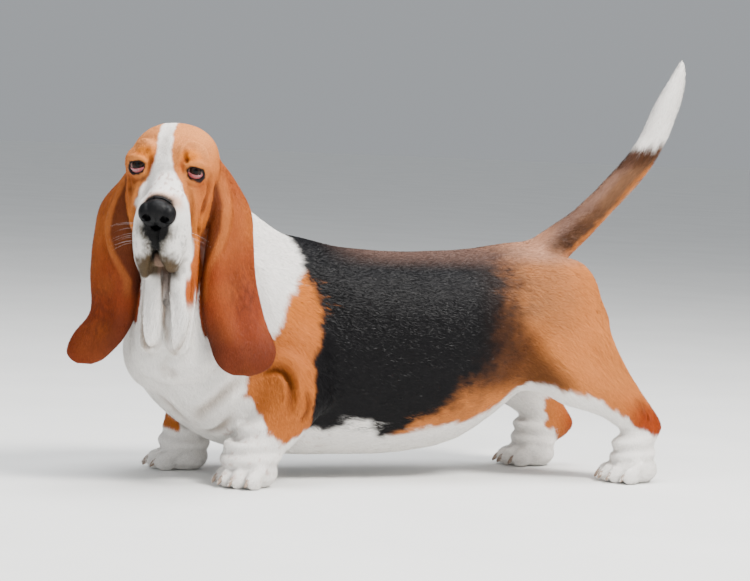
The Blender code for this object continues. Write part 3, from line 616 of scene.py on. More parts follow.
@dataclass(frozen=True)
class Fold:
    """A crease in the skin, or a ridge where its depth is negative, along a path that lies near the skin."""

    path: tuple[Point, ...]
    depth: float
    width: float
    bulge: float = 0.4
    place: str = "skull"
    both: bool = False
    leather: bool = False

    def lines(self) -> list[Rows]:
        """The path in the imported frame, with its mirror image where both sides have it."""
        fine = spline(self.path, 4 * len(self.path) + 4)
        ways = [fine, fine * (1, -1, 1)] if self.both else [fine]
        return [moved(way, PLACES[self.place]) for way in ways]

    def near(self, points: Rows, tree: BVHTree, bare: Rows) -> Iterable[tuple[Rows, Rows, Rows]]:
        """Lays the fold on the skin.

        Args:
            points: Places on the skin.
            tree: The skin, to lay the path on.
            bare: Which of the places count.

        Yields:
            For each line: which places are near, how many widths off, and how strong the fold is there.
        """
        for line in self.lines():
            laid = np.array([tuple(tree.find_nearest(Vector(p))[0]) for p in line])
            reach = 4 * self.width
            chosen = np.nonzero(bare & (points > laid.min(0) - reach).all(1)
                                & (points < laid.max(0) + reach).all(1))[0]
            if not len(chosen):
                continue
            start, run = laid[:-1], np.diff(laid, axis=0)
            offset = points[chosen][:, None, :] - start[None]
            along = np.clip((offset * run).sum(2) / np.maximum((run ** 2).sum(1), 1e-12), 0, 1)
            away = norm(offset - along[..., None] * run, axis=2)
            best = away.argmin(1)
            rows = np.arange(len(chosen))
            share = (best + along[rows, best]) / len(run)
            yield chosen, away[rows, best] / self.width, np.sin(pi * np.clip(share, 0.02, 0.98)) ** 0.6

    def press(self, points: Rows, normals: Rows, tree: BVHTree, bare: Rows) -> Rows:
        """The skin's points after the fold; bare says which may move."""
        points = points.copy()
        for chosen, off, taper in self.near(points, tree, bare):
            push = -np.exp(-off ** 2) + self.bulge * np.exp(-((off - 2.0) / 0.9) ** 2)
            points[chosen] += normals[chosen] * (self.depth * taper * push)[:, None]
        return points

    def shade(self, points: Rows, tree: BVHTree) -> Rows:
        """How deep in the crease each place lies, 0 to 1, which sets how much painted crease shade it takes.
        """
        dark = np.zeros(len(points))
        for chosen, off, taper in self.near(points, tree, np.ones(len(points), bool)):
            dark[chosen] = np.maximum(dark[chosen], taper * np.exp(-(off / 1.15) ** 2))
        return dark * min(1.0, self.depth / 0.006)


def fold_mm(path: Sequence[Point], depth: float, width: float, *rest: object) -> Fold:
    """A fold from millimetres."""
    return Fold(metres(path), *metres([(depth, width)])[0], *rest)


# Creases and brow ridges of the head, from the skull's frame. The left side is the one the camera sees.
HEAD_FOLDS = (
    fold_mm(((-7, 57, -11), (-3, 55, -36), (10, 54, -52), (20, 52, -75), (16, 51, -99),
          (26, 49, -128)), 6, 3.6),
    fold_mm(((-22, 66, -20), (-18, 64, -50), (-12, 62, -80), (-6, 56, -115)), 5.5, 3.8),
    fold_mm(((20, 34, -22), (28, 40, -45), (34, 42, -70), (34, 46, -100), (38, 46, -125)), 3.4, 3.2),
    fold_mm(((-10, -59, -20), (4, -56, -34), (20, -52, -50), (28, -49, -75), (26, -48, -105)), 5.6, 3.6),
    fold_mm(((-22, -64, -30), (-16, -62, -60), (-6, -56, -100)), 3.6, 3.6),
    fold_mm(((18, -38, -24), (30, -40, -45), (36, -42, -70), (36, -44, -105)), 2.4, 3),
    fold_mm(((-8, -61, 6), (-13, -55, 16), (-15, -46, 21.5), (-10, -35, 21),
          (-3, -27, 13)), -6.4, 5.6, 0.25),
    fold_mm(((0, 14, 10), (-7, 15, 19), (-13, 23, 25.5), (-13, 34, 23.5), (-9, 45, 14.5),
          (-4, 52, 4)), -6.4, 5.6, 0.25),
    fold_mm(((-4, 19, 22), (3, 27, 12), (4, 36, 10.5)), 4, 3.4, 0.2),
    fold_mm(((-5, -30, 20), (1, -36, 13.5), (3, -44, 11.5)), 4, 3.4, 0.2),
    fold_mm(((6, 16, 14), (8, 19, 4), (11, 24, -6)), 1.6, 2.4),
    fold_mm(((6, -24, 14), (8, -26, 4), (12, -29, -6)), 1.6, 2.4),
    fold_mm(((12, -8, 6), (-14, -9, 32), (-50, -9, 45)), 1.8, 7, 0.3),
    fold_mm(((9, 22, -20), (9, 36, -26), (4, 50, -22)), 1.8, 2.4),
    fold_mm(((10, -28, -20), (8, -42, -26), (2, -55, -22)), 1.8, 2.4),
    fold_mm(((112, 6, -58), (108, 7, -70), (103, 8, -88)), 2.6, 1.6),
)
# The dewlap's two hanging tubes, the creases round them and the wide fold behind, from the level frame.
THROAT_FOLDS = (
    fold_mm(((2, -11, -150), (4, -11, -200), (2, -9.5, -255)), -5, 12, 0, "level"),
    fold_mm(((2, 25.5, -150), (4, 25.5, -200), (2, 25.5, -255)), -5, 12, 0, "level"),
    fold_mm(((4, 5, -125), (12, 4, -160), (14, 6, -200), (14, 8, -236),
          (14, 8.5, -262)), 10.5, 3.8, 0.3, "level"),
    fold_mm(((0, -27, -140), (4, -29, -200), (8, -25, -248), (12, -12, -270),
          (14, 4, -260)), 7, 4.4, 0.35, "level"),
    fold_mm(((14, 5, -260), (12, 18, -278), (8, 34, -268), (4, 41, -225),
          (2, 42, -150)), 7, 4.4, 0.35, "level"),
    fold_mm(((-10, -37, -150), (-4, -40, -215), (4, -33, -268), (10, -12, -292)), 4, 4.6, 0.4, "level"),
    fold_mm(((4, 3, -290), (2, 5, -320), (-4, 6, -350)), 2.6, 5, 0.3, "level"),
)
# The rolled rims in the ears' front edges, each with a soft groove behind it, from the level frame.
EAR_RIMS = {
    Side.LEFT: metres(((-49, 70, -15), (-39, 81, -54), (-31, 81, -89), (-25, 72, -117), (-24, 59, -144),
        (-25, 54.5, -164), (-26, 54, -190))),
    Side.RIGHT: metres(((-42, -75, -31), (-37, -85, -54), (-39, -91.5, -77), (-38.5, -94, -103),
        (-32, -84, -129), (-28, -68, -151), (-32, -58, -168))),
}
EAR_FOLDS = tuple(
    Fold(tuple((x, y + side.value * beyond, z) for x, y, z in rim), depth, width, 0.2, "level", leather=True)
    for side, rim in EAR_RIMS.items()
    for beyond, depth, width in ((0, -0.0022, 0.0036), (0.0105, 0.0018, 0.0044)))
# Ridges and creases of the trunk and legs, from the middle of the stance.
BODY_FOLDS = (
    fold_mm(((-290, -100, 182), (-261.5, -116.5, 190), (-239.5, -126.5, 187), (-227.5, -133, 167),
          (-229, -136.5, 138), (-236, -134.5, 110)), -10, 12, 0, "body", True),
    fold_mm(((-220, -137, 160), (-212, -138.5, 135), (-216, -135.5, 105)), -5.5, 8, 0, "body", True),
    fold_mm(((-284.5, -112.7, 167), (-255.5, -126.7, 175), (-242.5, -135.7, 161), (-238.5, -139.7, 137),
          (-243.5, -137.7, 112)), 8, 5.5, 0.35, "body", True),
    fold_mm(((-224.5, -141.7, 146), (-214.5, -141.7, 121),
          (-224.5, -137.7, 95)), 5.5, 4.5, 0.4, "body", True),
    fold_mm(((-298, -114, 170), (-330, -104, 142), (-350, -78, 112),
          (-350, -52, 92)), 4.5, 9, 0.5, "body", True),
    fold_mm(((-330, -40, 72), (-318, -66, 80), (-310, -92, 104)), 5, 6, 0.4, "body", True),
    fold_mm(((-384, -30, 150), (-372, -34, 118), (-350, -30, 86)), 3.4, 10, 0.5, "body"),
    fold_mm(((352, -130, 132), (362, -134, 118), (366, -134, 100)), 3.2, 4.2, 0.5, "body", True),
    fold_mm(((366, -130, 128), (376, -130, 112), (378, -128, 96)), 2.8, 3.8, 0.5, "body", True),
    fold_mm(((120, -105, 150), (160, -100, 190), (190, -104, 235)), 3.2, 14, 0.4, "body", True),
)
# The creases whose shade is painted into the skin's and the coat's colours.
CREASES = tuple(fold for fold in (*HEAD_FOLDS, *THROAT_FOLDS, *BODY_FOLDS) if fold.depth > 0)


@dataclass
class Skin:
    """The hound's one skin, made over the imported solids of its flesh."""

    voxel: float = 0.0016
    bridge: float = 0.00035
    faces: int = 192000
    body_rounds: int = 60
    lid_radius: float = 0.0021
    nodes: list[str] = field(default_factory=lambda: [
        "head", "lower_jaw", "neck", "chest", "barrel", "rump", "tail_base", "tail_tip",
        "ear_left", "ear_right",
        *(f"{part}_{side.word}" for part in ("foreleg", "forefoot", "thigh", "shank", "hindfoot")
          for side in Side)])

    def opened(self, head: Object) -> None:
        """Cuts the slit between the lids right through the head's copy to the eyeball."""
        sides = 24
        turns = [2 * pi * k / sides for k in range(sides)]
        reaches = ((0.0090, 0.92), (0.0150, 0.96), (0.0200, 1.04), (0.0300, 1.10))
        for side in Side:
            points = [tuple(SKULL @ STANCE.round_eye(side, *OPENING.rim(turn, grow), reach))
                      for reach, grow in reaches for turn in turns]
            ends = [list(range(sides)), list(range(3 * sides, 4 * sides))[::-1]]
            plug = mesh_object("plug", points, ends + tube_wall(len(reaches), sides))
            in_edit_mode(plug, bpy.ops.mesh.normals_make_consistent, inside=False)
            apply_modifier(head, "BOOLEAN", object=plug, operation="DIFFERENCE", solver="EXACT")
            bpy.data.objects.remove(plug)

    def flesh(self) -> Object:
        """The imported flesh, swollen until its parts meet, with finer ears and lids laid on it."""
        copies = []
        for name in self.nodes:
            if name.startswith("ear"):
                continue
            copy = placed("flesh_" + name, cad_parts[name].data.copy())
            shape = bmesh.new()
            shape.from_mesh(copy.data)
            bmesh.ops.remove_doubles(shape, verts=shape.verts, dist=1e-6)
            shape.to_mesh(copy.data)
            shape.free()
            if name == "head":
                self.opened(copy)
            set_points(copy, points_of(copy) + points_of(copy, "normal") * self.bridge)
            copies.append(copy)
        clay = Clay()
        for ear in EARS:
            ear.build(clay)
        for side in Side:
            self.add_lids(clay, side)
        self.add_lips(clay)
        copies.append(clay.to_object("flesh_clay"))
        make_active(copies[0])
        for copy in copies:
            copy.select_set(True)
        bpy.ops.object.join()
        copies[0].name = "skin"
        return copies[0]

    def add_lids(self, clay: Clay, side: Side) -> None:
        """Lays a rim of flesh round the slit, with a heavier upper lid and a pouch below."""
        rim = []
        for k in range(25):
            turn = 2 * pi * k / 24
            low = max(0.0, -sin(turn))
            p = STANCE.round_eye(side, *OPENING.rim(turn, 1.13), STANCE.eye_radius + 0.0013 + 0.0006 * low)
            rim.append((*p, self.lid_radius * (1.05 - 0.15 * low)))
        clay.rope(rim, SKULL)
        for first, span, grow, off, radius in ((0.10, 0.80, 1.46, 0.0026, 0.0030),
                                               (-0.14, -0.72, 1.42, 0.0018, 0.0026)):
            clay.rope([(*STANCE.round_eye(side, *OPENING.rim(pi * (first + span * k / 8), grow),
                                          STANCE.eye_radius + off), radius) for k in range(9)], SKULL)

    def add_lips(self, clay: Clay) -> None:
        """Rounds the free edges of the flews beside the mouth."""
        for side in Side:
            s = side.value
            low = 0.010 if s < 0 else -0.004
            clay.rope([
                (0.100, 0.0070 * s, -0.084, 0.0050), (0.096, 0.0120 * s, -0.100, 0.0056),
                (0.088, 0.0160 * s, -0.112 - low / 2, 0.0060), (0.074, 0.0190 * s, -0.124 - low, 0.0066),
                (0.050, 0.0220 * s, -0.128 - low, 0.0066),
            ], MUZZLE)

    def nearness(self, points: Rows) -> tuple[Rows, Rows]:
        """Where smoothing is held back.

        Args:
            points: The skin's points.

        Returns:
            For each point, how much of the body's smoothing it takes, and whether it is on an ear.
        """
        near = moved(points, SKULL.inverted())
        ears = np.zeros(len(points), bool)
        for side in Side:
            ears |= by_ear(points, side, 0.0036)[1]
        weights = rounded(scaled_reach(near, [0.03, 0, -0.09], [1.0, 1.0, 1.25]), 0.13, 0.24) * 0.75 + 0.25
        local = moved(points, BODY.inverted())
        weights *= rounded(local[:, 2], 0.02, 0.11) * 0.85 + 0.15
        weights[(local[:, 0] > 0.33) & (local[:, 2] > 0.40)] *= 0.4
        weights[ears] = 0
        for side in Side:
            from_eye = norm(near - np.array(STANCE.eye_place(side)), axis=1)
            weights *= rounded(from_eye, 0.016, 0.030)
        return weights, ears

    def clear_eyes(self, points: Rows) -> Rows:
        """Pushes the skin off the eyeballs."""
        room = STANCE.eye_radius + 0.00035
        for side in Side:
            centre = np.array(SKULL @ STANCE.eye_place(side))
            away = points - centre
            reach = norm(away, axis=1)
            inside = (reach < room) & (reach > 0.004)
            points[inside] = centre + away[inside] * (room / reach[inside])[:, None]
        return points

    def depth(self, points: Rows, ears: Rows) -> Rows:
        """How far the skin lies under the tips of the coat at each point."""
        near = moved(points, SKULL.inverted())
        local = moved(points, BODY.inverted())
        deep = 0.0005 + 0.0015 * rounded(scaled_reach(near, [0.05, 0, -0.05], [1.0, 1.0, 1.2]), 0.07, 0.20)
        deep = np.minimum(deep, 0.0007 + 0.0013 * rounded(local[:, 2], 0.03, 0.14))
        deep[ears] = 0.0004
        return deep + self.bridge

    def build(self) -> Object:
        """Makes the skin, with its folds pressed in."""
        skin = self.flesh()
        apply_modifier(skin, "REMESH", mode="VOXEL", voxel_size=self.voxel)
        keep_largest(skin)
        LOG.info("skin before thinning: %d points", len(skin.data.vertices))
        weights, ears = self.nearness(points_of(skin))
        soften(skin, weights, self.body_rounds)
        soften(skin, np.full(len(weights), 0.8), 5)
        points, normals = points_of(skin), points_of(skin, "normal")
        tree = BVHTree.FromObject(skin, bpy.context.evaluated_depsgraph_get())
        for fold in (*HEAD_FOLDS, *THROAT_FOLDS, *EAR_FOLDS, *BODY_FOLDS):
            points = fold.press(points, normals, tree, ears if fold.leather else ~ears)
        set_points(skin, points)
        soften(skin, np.full(len(weights), 0.5), 2)
        points = points_of(skin) - points_of(skin, "normal") * self.depth(points, ears)[:, None]
        set_points(skin, self.clear_eyes(points))
        apply_modifier(skin, "DECIMATE", ratio=self.faces / (2 * len(skin.data.polygons)))
        apply_modifier(skin, "TRIANGULATE")
        self.unwrap(skin)
        skin.name = skin.data.name = "skin"
        return finish_piece(skin, "coat_white", *self.nodes)

    def unwrap(self, skin: Object) -> None:
        """Lays the skin flat in a map of its own."""
        skin.data.materials.clear()
        while skin.data.uv_layers:
            skin.data.uv_layers.remove(skin.data.uv_layers[0])
        skin.data.uv_layers.new(name="OFBake")
        in_edit_mode(skin, bpy.ops.uv.smart_project, angle_limit=radians(66), island_margin=0.0008)


def blend(base: Rows, *layers: tuple[Rows | Hue, Rows]) -> Rows:
    """Mixes colours over others in turn.

    Args:
        base: The colours below, one a row.
        layers: Each colour with its share for each row, the lowest first.

    Returns:
        The mixed colours.
    """
    for hue, share in layers:
        colour = hue.linear if isinstance(hue, Hue) else hue
        base = base + (colour - base) * np.clip(share, 0, 1)[:, None]
    return base

@dataclass(frozen=True)
class Patch:
    """A patch of colour on the flank, as an outline in the plane of x and z seen from the side."""

    outline: tuple[tuple[float, float], ...]

    def inside(self, x: Rows, z: Rows) -> Rows:
        """How far inside the outline places lie, in metres, negative outside."""
        corners = np.array(self.outline)
        best = np.full(len(x), np.inf)
        odd = np.zeros(len(x), bool)
        for (ax, az), (bx, bz) in zip(corners, np.roll(corners, -1, axis=0)):
            dx, dz = bx - ax, bz - az
            t = np.clip(((x - ax) * dx + (z - az) * dz) / max(dx * dx + dz * dz, 1e-12), 0, 1)
            best = np.minimum(best, np.hypot(x - ax - t * dx, z - az - t * dz))
            if az != bz:
                crosses = (az > z) != (bz > z)
                odd ^= crosses & (x < (bx - ax) * (z - az) / (bz - az) + ax)
        return np.where(odd, best, -best)


@dataclass(frozen=True)
class Markings:
    """The hound's colours: a white collar, chest, belly and feet, a black saddle, tan, and mahogany ears."""

    saddle: Patch = Patch(metres((
        (-206, 420), (-206, 335), (-206, 304), (-191, 289), (-181, 262), (-187, 229), (-200, 203),
        (-206, 190), (-201, 141), (-206, 107), (-196, 83), (-140, 84), (-105, 97), (-88, 97), (-66, 70),
        (-38, 80), (0, 100), (30, 110), (66, 134), (105, 158), (142, 200), (150, 249), (158, 295),
        (162, 420),
    )))
    shoulder: Patch = Patch(metres((
        (-200, 325), (-215, 312), (-226, 291), (-242, 266), (-254, 237), (-276, 205), (-297, 168),
        (-302, 137), (-285, 123), (-276, 107), (-274, 92), (-261, 76), (-248, 66), (-228, 75), (-212, 84),
        (-190, 80), (-150, 200), (-150, 325),
    )))
    quarters: Patch = Patch(metres((
        (-60, 76), (-30, 74), (15, 86), (74, 93), (120, 108), (158, 136), (188, 154), (220, 147),
        (286, 130), (318, 112), (350, 90), (385, 74), (430, 64), (500, 80), (560, 480), (-60, 480),
    )))
    tail_tip_height: float = 0.520
    tail_path: tuple[tuple[float, float], ...] = metres((
        (210, 324), (262, 361), (330, 418), (412, 505), (450, 583), (468, 626), (475.5, 661),
    ))
    # The outline of a band of painted shade behind the flank fold.
    stripe: Patch = Patch(metres((
        (50, 200), (95, 150), (165, 158), (226, 150), (196, 185), (140, 250),
    )))
    far_hock: Patch = Patch(metres((
        (298, 112), (301, 88), (304, 67), (326, 47), (331, 36), (343, 29), (400, 30), (400, 125),
    )))
    far_elbow: Patch = Patch(metres((
        (-340, 84), (-329, 73), (-333, 60), (-350, 62), (-362, 78),
    )))

    def trunk(self, points: Rows) -> Rows:
        """The colours of trunk, legs and tail, by places from the middle of the stance, with painted sheen
        along the saddle's top.
        """
        x, y, z = points.T
        wobble = 0.0045 * grain(points, 0.016, 3) + 0.0035 * grain(points, 0.006, 4)
        far = y > 0
        shifted = x + np.where(far, 0.008 * np.sin(z * 30), 0)
        soft = grain(points, 0.045, 11)
        in_quarters = rounded(self.quarters.inside(shifted, z) + wobble, -0.003, 0.003)
        inner_leg = rounded(np.abs(y), 0.030, 0.050) + rounded(z, 0.18, 0.23) + rounded(x, 0.26, 0.30)
        in_quarters *= np.clip(inner_leg, 0, 1)
        in_quarters = np.maximum(in_quarters,
                                 far * rounded(self.far_hock.inside(x, z) + wobble, -0.002, 0.002))
        outer = rounded(np.abs(y), 0.045, 0.062) * rounded(z, 0.045, 0.060)
        in_shoulder = rounded(self.shoulder.inside(shifted, z) + wobble, -0.002, 0.002) * outer
        elbow = rounded(self.far_elbow.inside(x, z) + 0.5 * wobble, -0.001, 0.002) * rounded(y, 0.03, 0.05)
        fade = rounded(x, -0.02, 0.10)
        edge = (1 - fade) * 0.0030 + fade * 0.046
        inside = self.saddle.inside(shifted, z) + wobble * (1 + 2 * fade) \
            + fade * 0.016 * grain(points, 0.0035, 12)
        in_saddle = rounded(inside, -edge, edge)
        in_saddle *= np.where(z < 0.10, rounded(np.abs(y), 0.030, 0.050), 1)
        # Painted sheen: the black saddle turns sable along the top of the back; the brown towards its rear is
        # the coat's own.
        dark = blend(Hue.BLACK.linear * (1 + 0.25 * soft)[:, None],
                     (Hue.SABLE, 0.66 * rounded(z, 0.318, 0.354) * rounded(x, -0.17, -0.03)),
                     (Hue.BROWN, 0.45 * rounded(x, 0.07, 0.16)))
        speck = rounded(grain(points, 0.0055, 21), 0.52, 0.66) * rounded(z, 0.11, 0.08) \
            * rounded(y, -0.04, -0.07)
        return self.tail(points, blend(
            Hue.WHITE.over(points),
            (self.hindquarters(points, soft), in_quarters),
            (Hue.AMBER, np.maximum(in_shoulder, elbow)),
            (Hue.GOLD, in_shoulder * 0.45 * rounded(z, 0.20, 0.28) * (1 + 0.3 * soft)),
            (dark, in_saddle),
            (Hue.CREAM, 0.85 * rounded(x, 0.285, 0.31) * rounded(np.abs(y), 0.068, 0.030)
             * rounded(z, 0.16, 0.20) * rounded(z, 0.30, 0.26)),
            (Hue.FRECKLE, 0.5 * speck * (1 - in_shoulder) * (1 - in_saddle) * (x < -0.15))))

    def hindquarters(self, points: Rows, soft: Rows) -> Rows:
        """The tan of loin, thigh and hock: golden on the thigh, brown on the rump, rusty at the hock, with
        painted sheen along the topline and a painted shade band behind the flank fold.
        """
        x, _, z = points.T
        return blend(
            Hue.TAN.linear * (1 + 0.08 * soft)[:, None],
            (Hue.HAZEL, 0.75 * rounded(x, 0.29, 0.20) * rounded(z, 0.20, 0.27)
             * (1 + 0.25 * grain(points, 0.02, 13))),
            # Painted sheen along the topline of loin and rump.
            (Hue.ROSE, 0.60 * rounded(z, 0.325, 0.350) * rounded(x, 0.08, 0.14)),
            # Painted shade: a brown band behind the flank fold.
            (Hue.BROWN, 0.80 * rounded(self.stripe.inside(x, z), -0.030, 0.008)),
            (Hue.ORANGE, 0.55 * rounded(z, 0.17, 0.10) * rounded(x, 0.27, 0.36)),
            (Hue.RUST, 0.95 * rounded(z, 0.140, 0.10) * rounded(x, 0.320, 0.370)))

    def tail(self, points: Rows, colour: Rows) -> Rows:
        """Lays the tail's colours over others: brown above, golden beneath, a dark band and a white tip."""
        x, _, z = points.T
        path = np.array(self.tail_path)
        best, side = np.full(len(x), np.inf), np.zeros(len(x))
        for (ax, az), (bx, bz) in zip(path[:-1], path[1:]):
            dx, dz = bx - ax, bz - az
            t = np.clip(((x - ax) * dx + (z - az) * dz) / (dx * dx + dz * dz), 0, 1)
            away = np.hypot(x - ax - t * dx, z - az - t * dz)
            cross = ((x - ax) * dz - (z - az) * dx) / hypot(dx, dz)
            side = np.where(away < best, cross, side)
            best = np.minimum(best, away)
        on_tail = rounded(x - 0.6 * (z - 0.36), 0.215, 0.250) * rounded(z, 0.335, 0.362) \
            * rounded(best, 0.05, 0.04)
        rim = side / np.interp(z, (0.36, 0.42, 0.50, 0.58), (0.027, 0.0215, 0.0195, 0.0185)) \
            + 0.16 * grain(points, 0.008, 31) + 0.10 * grain(points, 0.003, 33)
        end = z - 0.25 * (x - 0.43) + 0.006 * grain(points, 0.008, 31) + 0.004 * grain(points, 0.0025, 34)
        tip = self.tail_tip_height
        coat = blend(
            Hue.DUSK.over(points),
            (Hue.BROWN, 0.75 * rounded(z, 0.46, 0.38) + 0.25 * grain(points, 0.014, 32)),
            (Hue.SABLE, 0.55 * rounded(rim, -0.2, -0.8)),
            (Hue.TAN, rounded(rim, 0.35, 0.80)),
            (Hue.CREAM, 0.30 * rounded(rim, 0.70, 1.0) * rounded(z, 0.385, 0.405)
             * rounded(z, 0.475, 0.445)),
            (Hue.BROWN, 0.85 * rounded(end, tip - 0.034, tip - 0.014)),
            (Hue.WHITE, rounded(end, tip - 0.004, tip + 0.006)))
        return blend(colour, (coat, on_tail))

    def head(self, points: Rows) -> Rows:
        """The colours of the head, by places in the skull's frame."""
        x, y, z = points.T
        colour = blend(
            Hue.TAN.over(points),
            (Hue.PEACH, 0.75 * rounded(z, 0.004, 0.030)),
            (Hue.ORANGE, 0.60 * rounded(np.abs(y + 0.003), 0.036, 0.058) * rounded(z, 0.02, -0.03)),
            (Hue.GOLD, 0.40 * rounded(z, -0.05, -0.08) * rounded(z, -0.13, -0.10)
             * rounded(x, -0.01, 0.01)),
            (Hue.ORANGE, 0.45 * rounded(z, -0.09, -0.13)))
        for side in Side:
            colour = self.round_eye(points, colour, side)
        return self.lids(points, self.mouth(points, self.muzzle(points, colour)))

    def round_eye(self, points: Rows, colour: Rows, side: Side) -> Rows:
        """Lays the golden brow, its red furrow, the red inner corner and the tear stain over others."""
        x, y, z = points.T
        s = side.value
        eye = np.array(STANCE.eye_place(side))
        places = (
            (Hue.GOLD, 0.95, (0.002, -0.008 * s, 0.020), (1, 1.2, 0.8), 0.018, 0.006),
            (Hue.RUST, 0.80, (0.004, -0.010 if s > 0 else 0.003, 0.0150), (1, 1.9, 0.9), 0.0065, 0.0015),
            (Hue.ORANGE, 0.70, (0.006, -0.019 * s, 0.002), (1, 0.6, 1.5), 0.013, 0.004),
            (Hue.RUST, 0.35, (0.002, 0.004 * s, -0.020), (1.5, 1.4, 1.0), 0.014, 0.004),
        )
        for hue, share, centre, scale, rim, core in places:
            near = rounded(scaled_reach(points - eye, centre, scale), rim, core)
            colour = blend(colour, (hue, share * near))
        tear = np.hypot(y - (eye[1] - 0.010 * s) - 0.25 * s * (eye[2] - z - 0.012), (x - 0.012) * 0.5)
        return blend(colour, (Hue.DARK_EAR, (0.60 if s < 0 else 0.25) * rounded(tear, 0.0045, 0.0012)
                              * rounded(z, eye[2] - 0.011, eye[2] - 0.016)
                              * rounded(z, eye[2] - 0.052, eye[2] - 0.03)))

    def muzzle(self, points: Rows, colour: Rows) -> Rows:
        """Lays the blaze, the white muzzle and its freckles over others."""
        x, y, z = points.T
        wobble = 0.0022 * grain(points, 0.010, 41) + 0.0012 * grain(points, 0.004, 42)
        run = x - z
        middle = np.interp(run, [-0.10, -0.056, -0.008, 0.018, 0.044, 0.071],
                           [-0.0120, -0.0095, -0.0080, -0.0065, -0.005, -0.003])
        half = np.interp(run, [-0.16, -0.10, -0.056, -0.008, 0.018, 0.044, 0.071, 0.085],
                         [0.007, 0.0100, 0.0108, 0.0112, 0.0165, 0.0280, 0.0370, 0.038])
        white = rounded(half - np.abs(y - middle) + wobble, -0.0022, 0.0022) * rounded(z, -0.065, -0.050)
        reach = np.interp(z, [-0.129, -0.112, -0.098, -0.067, -0.043], [0.037, 0.049, 0.048, 0.038, 0.038])
        flews = rounded(reach + 0.6 * (x - 0.035) - np.abs(y) + wobble, -0.0022, 0.0022)
        white = np.maximum(white, flews * rounded(z, -0.030, -0.045) * rounded(x, 0.008, 0.020))
        white = np.maximum(white, rounded(x, 0.052, 0.060))
        freckle = rounded(grain(points * (0.6, 1.2, 1), 0.0044, 51), 0.20, 0.45)
        bridge = rounded(x, 0.016, 0.030) * rounded(x, 0.092, 0.075) * rounded(z, -0.040, -0.022)
        fleck = rounded(grain(points, 0.0034, 52), 0.25, 0.50) * rounded(x, 0.050, 0.070) \
            * rounded(z, -0.050, -0.065) * rounded(z, -0.13, -0.11)
        return blend(
            colour,
            (Hue.WHITE, white),
            (Hue.FRECKLE, 0.60 * freckle * bridge * white),
            (Hue.PEACH, 0.60 * rounded(x, 0.072, 0.088) * rounded(z, -0.040, -0.020) * white),
            (Hue.GREY, 0.42 * fleck * white))

    def mouth(self, points: Rows, colour: Rows) -> Rows:
        """Lays the dark lips, the stained inner flews and the chin over others; the chin's pink-brown is
        partly bare skin and partly painted shade.
        """
        x, y, z = points.T
        half = np.interp(z, [-0.104, -0.090, -0.078, -0.064, -0.050], [0.005, 0.007, 0.0085, 0.0185, 0.021])
        lips = rounded(half - np.abs(y - 0.004) + 0.002 * grain(points, 0.005, 53), -0.005, 0.004)
        smoke = rounded(np.abs(y - 0.004), half + 0.016, half + 0.002) * rounded(x, 0.076, 0.090) \
            * rounded(z, -0.046, -0.060) * (0.80 + 0.45 * grain(points, 0.0018, 56))
        stain = rounded(z + 0.006 * grain(points, 0.006, 57), -0.090, -0.110) * rounded(x, 0.030, 0.045) \
            * rounded(np.abs(y - 0.005) + 0.006 * grain(points, 0.008, 54), 0.036, 0.022)
        inner_lip = rounded(np.abs(y - 0.007), 0.0145, 0.0090) * rounded(z, -0.088, -0.094) \
            * rounded(x, 0.02, 0.04)
        # The chin: pink-brown that is partly bare skin and partly painted shade under the mouth.
        chin = rounded(np.abs(y - 0.0075), 0.0080, 0.0052) * rounded(z, -0.101, -0.104) \
            * rounded(x, 0.096, 0.092)
        return blend(
            colour,
            (Hue.GREY, smoke),
            (Hue.LIP, lips * rounded(x, 0.080, 0.092) * rounded(z, -0.108, -0.100)),
            (Hue.STAIN, 0.97 * stain),
            (Hue.LIP, 0.94 * inner_lip * rounded(x, 0.104, 0.094) * rounded(z, -0.122, -0.106)),
            (Hue.THROAT, chin * rounded(x, 0.03, 0.05)))

    def lids(self, points: Rows, colour: Rows) -> Rows:
        """Lays the bare dark edge of the lids over others, thin above and broader below."""
        for side in Side:
            ahead, reach, across, rise = lid_angles(points, side)
            beyond = OPENING.outside(across, rise) + 0.05 * grain(points, 0.003, 55)
            broad = 0.10 + 0.04 * rounded(rise, 0, -25) + 0.14 * rounded(across, 15, 50)
            lid = blend(Hue.LIP.over(points), (Hue.LID, rounded(rise, -5, -30)))
            share = rounded(beyond, broad, broad - 0.12) * (rounded(reach, 0.024, 0.019) * (ahead > -0.004))
            colour = blend(colour, (lid, share))
        return colour

    def ear(self, points: Rows, inner: Rows) -> Rows:
        """The colours of the ears, with painted shade and a painted highlight on the rims, by places in the
        level frame and whether they face the cheek.
        """
        _, y, z = points.T
        left, out = y > 0, np.abs(y)
        smoke = np.where(left, np.hypot(y - 0.112, (z + 0.180) / 2.0), np.hypot(y + 0.10, (z + 0.22) / 2))
        ticks = rounded(smoke, 0.038, 0.008) * rounded(grain(points, 0.0026, 63), -0.5, 0.6)
        line = [np.array(EAR_RIMS[side])[::-1] for side in (Side.LEFT, Side.RIGHT)]
        rim = np.where(left, *(np.interp(z, rows[:, 2], np.abs(rows[:, 1])) for rows in line))
        along = rounded(z, -0.200, -0.175) * rounded(z, -0.008, -0.030)
        return blend(
            Hue.MAHOGANY.over(points),
            (Hue.AMBER, 0.62 * rounded(z, -0.24, -0.04) + 0.30 * grain(points, 0.03, 61)),
            (Hue.RUST, 0.25 * rounded(grain(points, 0.022, 62), -0.2, 0.8)),
            (Hue.DARK_EAR, 0.55 * ticks),
            # Painted shade: the lower ear darkens, the left ear most.
            (Hue.DARK_EAR, np.where(left, 0.60, 0.25) * rounded(z, -0.21, -0.27)),
            # Painted shade on the lower ear's part nearest the head, which turns away from the light.
            (Hue.DARK_EAR, 0.45 * rounded(out, 0.100, 0.074) * rounded(z, -0.19, -0.24)),
            # Painted shade in the pocket behind the rolled rim.
            (Hue.DARK_EAR, 0.72 * rounded(rim - out, 0.003, 0.009) * along),
            # Painted highlight along the rolled rim.
            (Hue.TAN, 0.35 * rounded(np.abs(out - rim), 0.0095, 0.0020) * along),
            # Painted shade on the side of the ear that faces the cheek.
            (Hue.DARK_EAR, 0.55 * inner))

